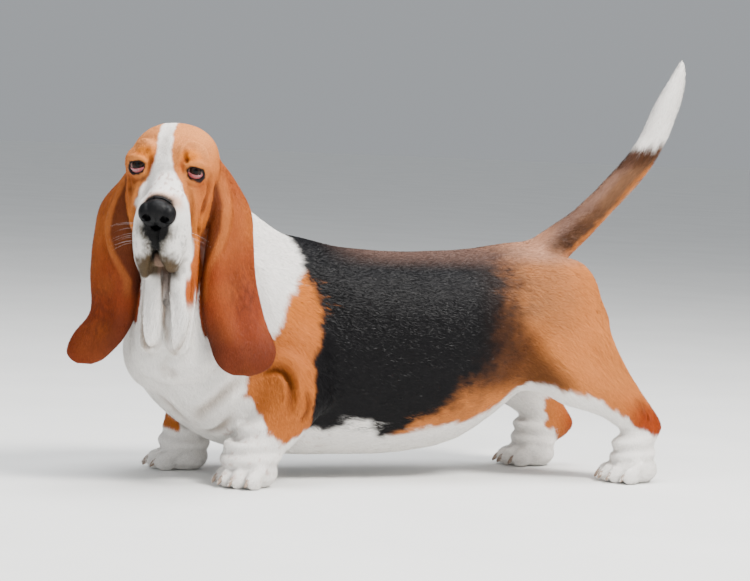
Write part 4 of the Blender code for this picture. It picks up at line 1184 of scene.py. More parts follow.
    def neck(self, points: Rows, colour: Rows) -> Rows:
        """Lays the neck's colours over others, by places in the level frame, with painted shade in the strip
        between the dewlap's tubes.
        """
        x, y, z = points.T
        wobble = 0.004 * grain(points, 0.014, 71)
        nape = rounded(x + 0.25 * z + wobble, -0.150, -0.132) * rounded(z, -0.16, -0.10)
        stripe = rounded(np.abs(y + 0.4 * wobble - 0.039) - 0.10 * (z + 0.16), 0.0080, 0.0055)
        wedge = np.maximum(stripe * rounded(z, -0.208, -0.190),
                           rounded(y + wobble, 0.038, 0.044) * rounded(z, -0.180, -0.165))
        wedge *= rounded(z, -0.10, -0.12) * rounded(x, -0.060, -0.040)
        tan = np.maximum(nape * rounded(np.abs(y), 0.030, 0.040), nape * rounded(z, -0.09, -0.06))
        tan = np.maximum(tan, np.maximum(wedge, rounded(-y + wobble, 0.040, 0.046)
                                         * rounded(z, -0.19, -0.165)))
        # The strip between the dewlap's tubes: partly bare skin and partly painted shade, darkest under the
        # jaw.
        middle = np.interp(z, [-0.262, -0.236, -0.200, -0.160], [0.0085, 0.0080, 0.0060, 0.0040])
        strip = rounded(np.abs(y - middle), 0.0082, 0.0052) \
            * rounded(z, -0.240, -0.205) * rounded(x, -0.03, -0.01) * rounded(z, -0.085, -0.10)
        return blend(colour, (Hue.ORANGE, tan * rounded(x, -0.150, -0.130)),
                     (Hue.THROAT, 0.85 * strip * (1 - 0.55 * rounded(z, -0.16, -0.21))))

    def at(self, points: Rows, ears: Rows, inner: Rows) -> Rows:
        """The colour at each place.

        Args:
            points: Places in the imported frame.
            ears: How much each lies on an ear, 0 to 1.
            inner: How much each faces the cheek, 0 to 1.

        Returns:
            Scene linear colours, one a row.
        """
        local, near, level = (moved(points, place.inverted()) for place in (BODY, SKULL, LEVEL))
        colour = self.neck(level, self.trunk(local))
        on_head = rounded(near @ FACE_WAY, -0.088, -0.079) * rounded(near[:, 0], -0.16, -0.14)
        on_head *= rounded(near[:, 2], -0.152, -0.140)
        return blend(colour, (self.head(near), on_head), (self.ear(level, inner), ears))


@dataclass(frozen=True)
class Lie:
    """Which way the hair lies near a place and at its mirror image, and how far this reaches."""

    spot: Point
    way: Point
    reach: float


LIES = {
    "body": (
        Lie((-0.41, 0.00, 0.22), (0.10, 0, -1), 0.06), Lie((-0.36, -0.09, 0.16), (0.35, 0.1, -1), 0.05),
        Lie((-0.30, -0.11, 0.26), (0.70, 0, -0.75), 0.06), Lie((-0.24, -0.12, 0.18), (0.55, 0, -0.85), 0.06),
        Lie((-0.20, -0.09, 0.33), (0.95, 0, -0.40), 0.06), Lie((-0.22, 0.00, 0.38), (1, 0, -0.1), 0.06),
        Lie((-0.30, 0.00, 0.36), (0.9, 0.2, -0.4), 0.05), Lie((-0.05, 0.00, 0.36), (1, 0, 0), 0.09),
        Lie((-0.05, -0.12, 0.20), (1, 0, -0.28), 0.09), Lie((-0.05, 0.00, 0.04), (1, 0, 0.05), 0.08),
        Lie((0.12, -0.11, 0.22), (1, 0, -0.35), 0.07), Lie((0.15, 0.00, 0.36), (1, 0, 0), 0.07),
        Lie((0.14, 0.00, 0.10), (1, 0, 0.3), 0.06), Lie((0.23, -0.10, 0.25), (0.75, 0, -0.70), 0.06),
        Lie((0.30, -0.09, 0.20), (0.50, 0, -0.90), 0.05), Lie((0.27, -0.09, 0.15), (0.75, 0, -0.60), 0.04),
        Lie((0.36, -0.10, 0.12), (0.60, 0, -0.80), 0.04), Lie((0.39, -0.11, 0.07), (0.0, 0, -1), 0.03),
        Lie((0.36, -0.11, 0.02), (-0.8, 0, -0.6), 0.03), Lie((0.31, 0.00, 0.26), (0.25, 0, -1), 0.04),
        Lie((0.25, 0.00, 0.35), (0.9, 0, 0.1), 0.04), Lie((0.30, 0, 0.38), (0.75, 0, 0.6), 0.03),
        Lie((0.36, 0, 0.44), (0.65, 0, 0.75), 0.05), Lie((0.43, 0, 0.53), (0.45, 0, 0.9), 0.05),
        Lie((0.47, 0, 0.62), (0.3, 0, 1), 0.05), Lie((-0.22, -0.11, 0.11), (0, 0, -1), 0.04),
        Lie((-0.26, -0.11, 0.06), (-0.1, 0, -1), 0.03), Lie((-0.31, -0.11, 0.02), (-0.85, -0.2, -0.5), 0.03),
    ),
    "skull": (
        Lie((0.09, 0, -0.01), (-1, 0, 0.15), 0.020), Lie((0.04, 0, 0.00), (-1, 0, 0.35), 0.020),
        Lie((0.00, 0, 0.02), (-0.8, 0, 0.6), 0.018), Lie((-0.04, 0, 0.045), (-1, 0, 0.1), 0.030),
        Lie((-0.10, 0, 0.03), (-0.8, 0, -0.6), 0.035), Lie((0.00, 0.03, 0.02), (-0.6, 0.6, 0.5), 0.012),
        Lie((0, 0.055, 0.01), (-0.9, 0.2, 0.0), 0.015), Lie((0.01, 0.035, -0.03), (-0.2, 0.4, -0.9), 0.015),
        Lie((0, 0.055, -0.06), (-0.5, 0, -0.85), 0.025), Lie((0.08, 0.025, -0.05), (-0.7, 0.2, -0.7), 0.020),
        Lie((0.07, 0.035, -0.10), (-0.45, 0, -0.9), 0.025), Lie((0.09, 0.00, -0.10), (-0.1, 0, -1), 0.015),
        Lie((-0.05, 0.06, 0.00), (-0.8, 0.2, -0.6), 0.030), Lie((-0.04, 0.06, -0.10), (-0.5, 0, -0.9), 0.035),
    ),
    "level": (
        Lie((0.00, 0.00, -0.18), (0, 0, -1), 0.04), Lie((-0.08, 0.05, -0.15), (-0.3, 0, -1), 0.05),
        Lie((-0.09, 0.00, -0.03), (-0.9, 0, -0.5), 0.04),
    ),
}


def comb(points: Rows, normals: Rows, ears: Rows) -> Rows:
    """Which way the hair lies at each place.

    Args:
        points: Places on the skin.
        normals: Its normals there.
        ears: How much each lies on an ear, 0 to 1.

    Returns:
        Directions of length 1 along the skin.
    """
    total = np.zeros_like(points)
    for name, lies in LIES.items():
        place = PLACES[name]
        for lie in lies:
            for flip in (1, -1):
                spot = moved([(lie.spot[0], lie.spot[1] * flip, lie.spot[2])], place)[0]
                way = np.array(place.to_3x3() @ Vector((lie.way[0], lie.way[1] * flip, lie.way[2])))
                share = np.exp(-((points - spot) ** 2).sum(1) / (2 * lie.reach ** 2)) + 1e-9
                total += way / norm(way) * share[:, None]
    total /= np.maximum(norm(total, axis=1, keepdims=True), 1e-12)
    total = total * (1 - ears[:, None]) + np.array([0.10, 0, -1.0]) * ears[:, None]
    total -= normals * (total * normals).sum(1, keepdims=True)
    return total / np.maximum(norm(total, axis=1, keepdims=True), 1e-9)


class Region(Enum):
    """A piece of the coat: how many tufts it has, and their length, width and lift, in metres."""

    FACE = ("coat_face", 54000, 0.0038, 0.00050, 0.00045)
    EARS = ("coat_ears", 62000, 0.0056, 0.00055, 0.00040)
    NECK = ("coat_neck", 54000, 0.0085, 0.00070, 0.0010)
    CHEST = ("coat_chest", 60000, 0.0085, 0.00075, 0.0010)
    BARREL = ("coat_barrel", 66000, 0.0085, 0.00062, 0.0006)
    RUMP = ("coat_rump", 64000, 0.0088, 0.00070, 0.0010)
    LEGS = ("coat_legs", 52000, 0.0060, 0.00065, 0.0008)


@dataclass
class Coat:
    """The hound's short flat coat, as tufts over its skin."""

    skin: Object
    markings: Markings
    seed: int = 7

    def measure(self) -> None:
        """Reads the skin: its corners, normals, map, and where its ears are."""
        mesh = self.skin.data
        self.points = points_of(self.skin)
        self.normals = points_of(self.skin, "normal")
        corners = np.empty(len(mesh.loops), int)
        mesh.loops.foreach_get("vertex_index", corners)
        self.corners = corners.reshape(-1, 3)
        flat = np.empty(len(mesh.loops) * 2)
        mesh.uv_layers["OFBake"].data.foreach_get("uv", flat)
        self.flat = flat.reshape(-1, 3, 2)
        a, b, c = (self.points[self.corners[:, k]] for k in range(3))
        self.areas = norm(np.cross(b - a, c - a), axis=1) / 2
        self.middles = (a + b + c) / 3
        self.ears, self.inner = self.ear_shares()
        self.tree = BVHTree.FromPolygons([Vector(p) for p in self.points], self.corners.tolist())

    def ear_shares(self) -> tuple[Rows, Rows]:
        """For each of the skin's points, how much it is on an ear and how much it faces the cheek."""
        ears, inner = np.zeros(len(self.points)), np.zeros(len(self.points))
        for side in Side:
            boxed, found = by_ear(self.points, side, 0.0042)
            ears = np.maximum(ears, found)
            out = np.array(LEVEL.to_3x3() @ Vector((0.25, side.value, 0)))
            facing = self.normals @ (out / norm(out))
            inner = np.maximum(inner, rounded(facing, -0.15, -0.60) * ears * boxed)
        return ears, inner

    def coloured(self, points: Rows, ears: Rows, inner: Rows) -> Rows:
        """The markings at each place, with painted shade darkening them in the creases."""
        # Painted shade: darker and warmer in the creases, but not on the ears.
        dark = np.max([fold.shade(points, self.tree) for fold in CREASES], axis=0) * (1 - ears)
        return self.markings.at(points, ears, inner) * (1 - dark[:, None] * (0.55, 0.62, 0.68))

    def tint(self) -> None:
        """Gives the skin its markings, a little darker than the coat."""
        colour = self.coloured(self.points, self.ears, self.inner)
        colour = colour * (0.92 + 0.05 * grain(self.points, 0.004, 91))[:, None]
        self.lay_tint(self.skin.data, np.column_stack([colour, np.ones(len(colour))]))

    @staticmethod
    def lay_tint(mesh: Mesh, tints: Rows) -> None:
        """Keeps a colour at each of the mesh's points."""
        mesh.color_attributes.new("Tint", "FLOAT_COLOR", "POINT").data.foreach_set("color", tints.ravel())

    def region_of(self, points: Rows, ears: Rows) -> Rows:
        """The index of the region that each place belongs to, in the order of Region."""
        near = moved(points, SKULL.inverted())
        x, y, z = moved(points, BODY.inverted()).T
        tilted = (x + 0.330) * cos(radians(30)) - (z - 0.292) * 0.5
        kinds = list(Region)
        found = np.full(len(points), kinds.index(Region.BARREL))
        for kind, chosen in (
                (Region.CHEST, x < -0.135),
                (Region.RUMP, x > 0.130),
                (Region.NECK, (x < -0.135) & (tilted < 0) & (z > 0.17)),
                (Region.LEGS, (z < 0.105) & (np.abs(y) > 0.050) & ((x < -0.165) | (x > 0.20))),
                (Region.FACE, (near @ FACE_WAY > -0.079) & (near[:, 0] > -0.16) & (near[:, 2] > -0.20)),
                (Region.EARS, ears > 0.5)):
            found[chosen] = kinds.index(kind)
        return found

    def bare(self, near: Rows, local: Rows) -> Rows:
        """Where no tuft grows: on the nose, between the lids and under the feet."""
        none = (near[:, 0] > 0.094) & (np.abs(near[:, 1] - 0.004) < 0.024) & (near[:, 2] > -0.057) \
            & (near[:, 2] < -0.012)
        for side in Side:
            ahead, reach, across, rise = lid_angles(near, side)
            none |= (OPENING.outside(across, rise) < 0.36) & (reach < 0.022) & (ahead > -0.004)
        none |= local[:, 2] < 0.003
        return none

    def grow(self, region: Region, index: int, found: Rows, dice: np.random.Generator) -> Object:
        """One piece of the coat.

        Args:
            region: Which piece.
            index: Its place in the order of regions.
            found: The region of each of the skin's faces.
            dice: Where its random draws come from.

        Returns:
            The finished piece.
        """
        name, count, length, width, lift = region.value
        faces = np.nonzero(found == index)[0]
        share = np.cumsum(self.areas[faces])
        picks = (np.arange(count) + dice.random(count)) / count * share[-1]
        face = faces[np.minimum(np.searchsorted(share, picks), len(faces) - 1)]
        u, v = dice.random(count), dice.random(count)
        over = u + v > 1
        u[over], v[over] = 1 - u[over], 1 - v[over]
        weight = np.column_stack([1 - u - v, u, v])
        corners = self.corners[face]
        root = (self.points[corners] * weight[..., None]).sum(1)
        normal = (self.normals[corners] * weight[..., None]).sum(1)
        normal /= norm(normal, axis=1, keepdims=True)
        ears = (self.ears[corners] * weight).sum(1)
        inner = (self.inner[corners] * weight).sum(1)
        flat = (self.flat[face] * weight[..., None]).sum(1)
        near, local = moved(root, SKULL.inverted()), moved(root, BODY.inverted())
        grows = ~self.bare(near, local)
        root, normal, ears, inner, flat, near, local = (
            rows[grows] for rows in (root, normal, ears, inner, flat, near, local))
        count = len(root)
        way = comb(root, normal, ears)
        side = np.cross(normal, way)
        way = way + side * (dice.normal(0, 0.16, count) + 0.25 * grain(root, 0.02, 95))[:, None]
        way /= norm(way, axis=1, keepdims=True)
        side = np.cross(normal, way)
        long = length * (0.75 + 0.5 * dice.random(count)) * self.longer(near, local)
        high = lift * (0.6 + 0.8 * dice.random(count)) * self.fuller(local)
        wide = width * (0.75 + 0.5 * dice.random(count))
        tip = root + way * long[:, None]
        for i in range(count):
            spot, facing, _, _ = self.tree.find_nearest(Vector(tip[i]))
            tip[i] = spot + facing * high[i]
        middle = (root + tip) / 2 + normal * (0.00035 + 0.6 * high)[:, None]
        roll = normal * dice.normal(0, 0.28, count)[:, None]
        side = side + roll
        base = root - normal * 0.0005
        rows = np.stack([base - side * wide[:, None] / 2, base + side * wide[:, None] / 2,
                         middle - side * wide[:, None] * 0.42, middle + side * wide[:, None] * 0.42, tip], 1)
        early, late = (self.coloured(root + way * long[:, None] * part, ears, inner) for part in (0.12, 0.88))
        own = 1 + 0.10 * dice.normal(0, 1, count) * (0.4 + 0.6 * (early.mean(1) < 0.5))
        between = (early + late) / 2
        shades = np.stack([early, early, between, between, late], 1) * own[:, None, None]
        shades *= np.array([0.82, 0.82, 1.0, 1.0, 1.10])[None, :, None]
        return self.to_piece(name, rows, np.clip(shades, 0.002, 0.92), flat)

    def longer(self, near: Rows, local: Rows) -> Rows:
        """How much longer than its region's the hair is: short on the muzzle, long on the fringes."""
        x, _, z = local.T
        grow = 1 - 0.30 * rounded(near[:, 0], 0.02, 0.05) * (near[:, 2] > -0.16)
        grow *= 1 + 0.5 * rounded(x, 0.30, 0.36) * rounded(z, 0.38, 0.42)
        grow *= 1 + rounded(x, 0.27, 0.30) * rounded(z, 0.14, 0.18) * rounded(z, 0.34, 0.28)
        return grow * (1 + 0.20 * rounded(z, 0.10, 0.06) * rounded(np.abs(x), 0.15, 0.10))

    def fuller(self, local: Rows) -> Rows:
        """How much further than its region's the hair stands off: most on the tail and the fringes."""
        x, _, z = local.T
        grow = 1 + 0.9 * rounded(x, 0.32, 0.38) * rounded(z, 0.40, 0.44)
        return grow * (1 + 0.5 * rounded(z, 0.10, 0.06) * rounded(np.abs(x), 0.15, 0.10))

    def to_piece(self, name: str, rows: Rows, shades: Rows, flat: Rows) -> Object:
        """Makes tufts into a piece.

        Args:
            name: The piece's name.
            rows: Five points a tuft: two at the root, two at the middle and the tip.
            shades: Their colours.
            flat: Where each root lies in the skin's map.

        Returns:
            The finished piece.
        """
        count = len(rows)
        mesh = bpy.data.meshes.new(name)
        mesh.vertices.add(count * 5)
        mesh.vertices.foreach_set("co", rows.reshape(-1))
        pattern = np.array([0, 1, 3, 0, 3, 2, 2, 3, 4])
        corners = (np.arange(count)[:, None] * 5 + pattern).reshape(-1)
        mesh.loops.add(len(corners))
        mesh.loops.foreach_set("vertex_index", corners)
        mesh.polygons.add(count * 3)
        mesh.polygons.foreach_set("loop_start", np.arange(count * 3) * 3)
        mesh.update(calc_edges=True)
        self.lay_tint(mesh, np.concatenate([shades, np.ones((*shades.shape[:2], 1))], axis=2))
        patch = 0.003
        corner = np.array([(0, 0), (patch, 0), (0, patch * 0.5), (patch, patch * 0.5), (patch * 0.5, patch)])
        spots = np.clip(flat[:, None, :] + corner[None], 0, 1)[:, pattern, :]
        mesh.uv_layers.new(name="OFBake").data.foreach_set("uv", spots.reshape(-1))
        return finish_piece(placed(name, mesh), "coat_white")

    def build(self) -> list[Object]:
        """Measures and tints the skin, and grows every piece of the coat."""
        self.measure()
        self.tint()
        dice = np.random.default_rng(self.seed)
        shares = self.ears[self.corners].mean(1)
        found = self.region_of(self.middles, shares)
        return [self.grow(region, k, found, dice) for k, region in enumerate(Region)]


@dataclass(frozen=True)
class Eye:
    """An eyeball with its cornea, the pink haw in front of it, and the wet rims of its lids."""

    side: Side
    gaze: Point
    iris: float = 41.0
    cornea: float = 0.0011

    def way(self) -> Vector:
        """Where the eye looks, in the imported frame."""
        return (SKULL.to_3x3() @ Vector(self.gaze)).normalized()

    def ball(self) -> Object:
        """The eyeball: a fine sphere whose front bulges, with the angle from its gaze kept at each point."""
        deselect()
        centre = SKULL @ STANCE.eye_place(self.side)
        bpy.ops.mesh.primitive_uv_sphere_add(segments=48, ring_count=36, radius=STANCE.eye_radius,
                                             location=centre)
        ball = bpy.context.active_object
        ball.rotation_mode = "QUATERNION"
        ball.rotation_quaternion = self.way().to_track_quat("Z", "Y")
        bpy.ops.object.transform_apply(location=True, rotation=True, scale=True)
        points = points_of(ball)
        away = points - np.array(centre)
        cosine = away @ np.array(self.way()) / norm(away, axis=1)
        angle = np.degrees(np.arccos(np.clip(cosine, -1, 1)))
        swell = self.cornea * np.clip(1 - (angle / self.iris) ** 2, 0, 1)
        set_points(ball, points + away / norm(away, axis=1, keepdims=True) * swell[:, None])
        layer = ball.data.attributes.new("Angle", "FLOAT", "POINT")
        layer.data.foreach_set("value", angle / 90)
        ball.name = ball.data.name = "eyeball_" + self.side.word
        return finish_piece(ball, "eye", "eye_" + self.side.word)

    def haw(self) -> Object:
        """The pink lining that the drooping lower lid bares, as a thin sheet on the eyeball."""
        columns, rows, half = 28, 10, 62
        points = []
        for i in range(rows + 1):
            for j in range(columns + 1):
                across = -half + 2 * half * j / columns
                crest = -13 + 9 * abs(across / half) ** 1.5 + 9 * (-across / half)
                rise = crest + (-66 - crest) * i / rows
                reach = STANCE.eye_radius + 0.0003 + 0.0006 * sin(pi * min(1, i / rows + 0.12))
                points.append(tuple(SKULL @ STANCE.round_eye(self.side, across, rise, reach)))
        size = columns + 1
        faces = [[a, a + 1, a + size + 1, a + size][::self.side.value]
                 for i in range(rows) for a in range(i * size, i * size + columns)]
        sheet = mesh_object("haw_" + self.side.word, points, faces)
        apply_modifier(sheet, "SOLIDIFY", thickness=0.0005, offset=-1)
        return finish_piece(sheet, "skin")

    def rims(self) -> Object:
        """The moist black edges of the lids, as one ring that is thicker below."""
        path = bpy.data.curves.new("lid_rim_" + self.side.word, "CURVE")
        path.dimensions = "3D"
        path.bevel_depth = 1.0
        path.bevel_resolution = 3
        count = 40
        line = path.splines.new("POLY")
        line.points.add(count - 1)
        line.use_cyclic_u = True
        for k, point in enumerate(line.points):
            turn = 2 * pi * k / count
            p = SKULL @ STANCE.round_eye(self.side, *OPENING.rim(turn, 1.01), STANCE.eye_radius + 0.0008)
            point.co = (*p, 1)
            point.radius = 0.0007 + 0.0003 * max(0.0, -sin(turn))
        make_active(placed(path.name, path))
        bpy.ops.object.convert(target="MESH")
        return finish_piece(bpy.context.active_object, "skin")


@dataclass(frozen=True)
class NoseLeather:
    """The nose: two lobes with comma nostrils, side slits and a groove between."""

    voxel: float = 0.0007
    groove: Fold = Fold(((0.121, 0.004, -0.029), (0.120, 0.004, -0.041), (0.113, 0.004, -0.055),
                         (0.108, 0.004, -0.063)), 0.0014, 0.0011, 0.2)

    def remesh(self, obj: Object, share: float = 1.0) -> Object:
        """Makes one even surface of the object, its voxels a share of the usual size."""
        return apply_modifier(obj, "REMESH", mode="VOXEL", voxel_size=self.voxel * share)

    def lobes(self) -> Object:
        """The nose before it is cut, from overlapping balls."""
        clay = Clay()
        clay.blob((0.102, 0, -0.027), (0.0175, 0.0215, 0.0185), MUZZLE)
        for s in (-1, 1):
            clay.blob((0.1015, 0.0085 * s, -0.0400), (0.0125, 0.0105, 0.0100), MUZZLE)
            clay.blob((0.104, 0.0150 * s, -0.029), (0.0145, 0.0120, 0.0150), MUZZLE)
        return self.remesh(clay.to_object("nose_leather"))

    def nostrils(self) -> Object:
        """What is cut from the nose: two hollows, each with a slit that curves back."""
        clay = Clay()
        for s in (-1, 1):
            clay.blob((0.118, 0.0128 * s, -0.0335), (0.0120, 0.0068, 0.0062), MUZZLE, (20 * s, 12, 0))
            clay.rope([(0.117, 0.0138 * s, -0.0355, 0.0031), (0.114, 0.0185 * s, -0.0385, 0.0026),
                       (0.109, 0.0235 * s, -0.0385, 0.0020), (0.102, 0.0290 * s, -0.0365, 0.0014)], MUZZLE)
        return self.remesh(clay.to_object("nostrils"))

    def build(self) -> Object:
        """Makes the nose leather, cut by its nostrils and pressed in at its groove."""
        nose = self.lobes()
        apply_modifier(nose, "SMOOTH", iterations=10)
        cutter = self.nostrils()
        apply_modifier(nose, "BOOLEAN", object=cutter, operation="DIFFERENCE", solver="EXACT")
        bpy.data.objects.remove(cutter)
        self.remesh(nose, 0.9)
        keep_largest(nose)
        tree = BVHTree.FromObject(nose, bpy.context.evaluated_depsgraph_get())
        points = points_of(nose)
        everywhere = np.ones(len(points), bool)
        set_points(nose, self.groove.press(points, points_of(nose, "normal"), tree, everywhere))
        apply_modifier(nose, "SMOOTH", iterations=3)
        nose.name = nose.data.name = "nose_leather"
        return finish_piece(nose, "nose_leather", "nose")


@dataclass(frozen=True)
class Claws:
    """The claws of one foot, four blunt horn points."""

    name: str
    place: Point
    splay: float
    paw_length: float = 0.092
    paw_width: float = 0.082

    def build(self) -> Object:
        """Makes the claws from cones that are bent down and joined."""
        foot = BODY @ Matrix.Translation(self.place) \
            @ Matrix.Rotation(radians(180 + self.splay), 4, "Z")
        points, faces = [], []
        sides, rings = 14, 8
        for spread in (-1.5, -0.5, 0.5, 1.5):
            reach = self.paw_length * (0.37 if abs(spread) < 1 else 0.25)
            y = spread * self.paw_width * 0.245
            stops = [(reach + 0.008, y * 1.04, 0.0160, 0.0046), (reach + 0.014, y * 1.06, 0.0142, 0.0043),
                     (reach + 0.019, y * 1.08, 0.0105, 0.0035), (reach + 0.0232, y * 1.10, 0.0060, 0.0017)]
            start = len(points)
            for x, across, z, radius in spline(stops, rings):
                for k in range(sides):
                    a = 2 * pi * k / sides
                    points.append(tuple(foot @ Vector((
                        x + 0.35 * radius * sin(a), across + radius * 0.78 * cos(a),
                        z + radius * sin(a)))))
            faces += tube_wall(rings, sides, start)
            faces.append([start + k for k in range(sides)])
            faces.append([start + (rings - 1) * sides + k for k in range(sides)][::-1])
        claws = mesh_object(self.name, points, faces)
        in_edit_mode(claws, bpy.ops.mesh.normals_make_consistent, inside=False)
        return finish_piece(claws, "claw")


FEET = (
    Claws("claws_fore_left", (-0.286, -0.112, 0.0), 24), Claws("claws_fore_right", (-0.316, 0.096, 0.0), -20),
    Claws("claws_hind_left", (0.358, -0.108, 0.0), 8), Claws("claws_hind_right", (0.288, 0.103, 0.0), -8),
)


@dataclass(frozen=True)
class Whiskers:
    """The few long white hairs of the flews."""

    seed: int = 5
    radius: float = 0.00010

    def build(self, tree: BVHTree) -> Object:
        """Sets each whisker on the skin and bends it down and back.

        Args:
            tree: The skin, for where each is rooted.

        Returns:
            The finished piece.
        """
        dice = np.random.default_rng(self.seed)
        points, faces = [], []
        for side in Side:
            s = side.value
            roots = [((0.085 - 0.011 * i, 0.040 * s, -0.070 - 0.012 * j), 0.022 + 0.005 * i)
                     for i in range(3) for j in range(3 if s < 0 else 2)]
            for spot, length in roots:
                jitter = dice.normal(0, 0.0022, 3)
                place, normal, _, _ = tree.find_nearest(SKULL @ (Vector(spot) + Vector(jitter)))
                drop = Vector((0, 0, -1)) * (0.35 + 0.25 * dice.random())
                back = (SKULL.to_3x3() @ Vector((-0.5, 0.25 * s, 0))) * (0.6 + 0.5 * dice.random())
                length *= 0.7 + 0.5 * dice.random()
                path = [place + (normal * t + (drop + back) * t * t) * length
                        for t in np.linspace(-0.05, 1, 9)]
                self.strand(points, faces, path)
        return finish_piece(mesh_object("whiskers", points, faces), "coat_white")

    def strand(self, points: list, faces: list, path: Sequence[Vector]) -> None:
        """Adds one tapered three-sided hair along a path."""
        start = len(points)
        for k, p in enumerate(path):
            ahead = (path[min(k + 1, len(path) - 1)] - path[max(k - 1, 0)]).normalized()
            across = ahead.cross(Vector((0.3, 0.2, 1))).normalized()
            up = ahead.cross(across)
            radius = self.radius * (1 - 0.8 * k / (len(path) - 1))
            for turn in (0, 2.094, 4.189):
                points.append(tuple(p + (across * cos(turn) + up * sin(turn)) * radius))
        for k in range(len(path) - 1):
            for j in range(3):
                a, n = start + 3 * k, (j + 1) % 3
                faces.append([a + j, a + n, a + 3 + n, a + 3 + j])
        end = start + 3 * len(path)
        faces.append([start + 2, start + 1, start])
        faces.append([end - 3, end - 2, end - 1])


class Graph:
    """A node tree under construction, with short words for adding and joining its nodes."""

    def __init__(self, tree: NodeTree) -> None:
        """Keeps the tree to build in."""
        self.tree = tree

    def add(self, kind: str, inputs: dict[str, object] | None = None, **values: object) -> Node:
        """Adds a node with these settings and input values or links."""
        node = self.tree.nodes.new(kind)
        for key, value in values.items():
            setattr(node, key, value)
        self.feed(node, inputs or {})
        return node

    def feed(self, node: Node, inputs: dict[str, object]) -> None:
        """Links outputs to a node's inputs, or sets the inputs' plain values."""
        for key, value in inputs.items():
            if isinstance(value, NodeSocket):
                self.tree.links.new(value, node.inputs[key])
            else:
                node.inputs[key].default_value = value


class Finish(Graph):
    """A material under construction."""

    def __init__(self, name: str, **plain: float) -> None:
        """Starts a material whose shader has these plain values, their names with _ for spaces."""
        self.material = bpy.data.materials.new(name)
        self.material.use_nodes = True
        super().__init__(self.material.node_tree)
        self.shader = self.tree.nodes["Principled BSDF"]
        self.feed(self.shader, {key.replace("_", " "): value for key, value in plain.items()})

    def group(self, tree: NodeTree, **inputs: object) -> Node:
        """Places a shared group with these inputs."""
        node = self.add("ShaderNodeGroup", node_tree=tree)
        self.feed(node, inputs)
        return node

    def dress(self, *objects: Object) -> None:
        """Gives the material to the objects."""
        for obj in objects:
            obj.data.materials.clear()
            obj.data.materials.append(self.material)


def shared_group(name: str, inputs: dict[str, tuple[str, object]], outputs: dict[str, str],
                 fill: Callable[[Graph, Node, Node], None]) -> NodeTree:
    """Makes a shader node group.

    Args:
        name: The group's name.
        inputs: Socket type and starting value of each input.
        outputs: Socket type of each output.
        fill: Adds what lies between the group's input and output nodes.

    Returns:
        The group.
    """
    tree = bpy.data.node_groups.new(name, "ShaderNodeTree")
    for key, (kind, value) in inputs.items():
        socket = tree.interface.new_socket(key, in_out="INPUT", socket_type=kind)
        socket.default_value = value
    for key, kind in outputs.items():
        tree.interface.new_socket(key, in_out="OUTPUT", socket_type=kind)
    fill(Graph(tree), tree.nodes.new("NodeGroupInput"), tree.nodes.new("NodeGroupOutput"))
    return tree


def fill_mottle(graph: Graph, start: Node, end: Node) -> None:
    """Fills a group that mottles a colour with noise and gives the noise as height."""
    place = graph.add("ShaderNodeTexCoord")
    noise = graph.add("ShaderNodeTexNoise", {
        "Detail": 3.0, "Vector": place.outputs["Object"], "Scale": start.outputs["Scale"]})
    mapped = graph.add("ShaderNodeMapRange", {
        "Value": noise.outputs["Fac"], "From Min": 0.3, "From Max": 0.7,
        "To Min": start.outputs["Darkest"], "To Max": start.outputs["Lightest"]})
    hue = graph.add("ShaderNodeHueSaturation", {
        "Color": start.outputs["Colour"], "Value": mapped.outputs["Result"]})
    graph.feed(end, {"Colour": hue.outputs["Color"], "Height": noise.outputs["Fac"]})


def fill_sheen(graph: Graph, start: Node, end: Node) -> None:
    """Fills a group that makes dark hair glossier than pale hair."""
    grey = graph.add("ShaderNodeRGBToBW", {"Color": start.outputs["Colour"]})
    mapped = graph.add("ShaderNodeMapRange", {
        "Value": grey.outputs["Val"], "From Min": 0.01, "From Max": 0.35,
        "To Min": start.outputs["Dark"], "To Max": start.outputs["Pale"]})
    graph.feed(end, {"Roughness": mapped.outputs["Result"]})


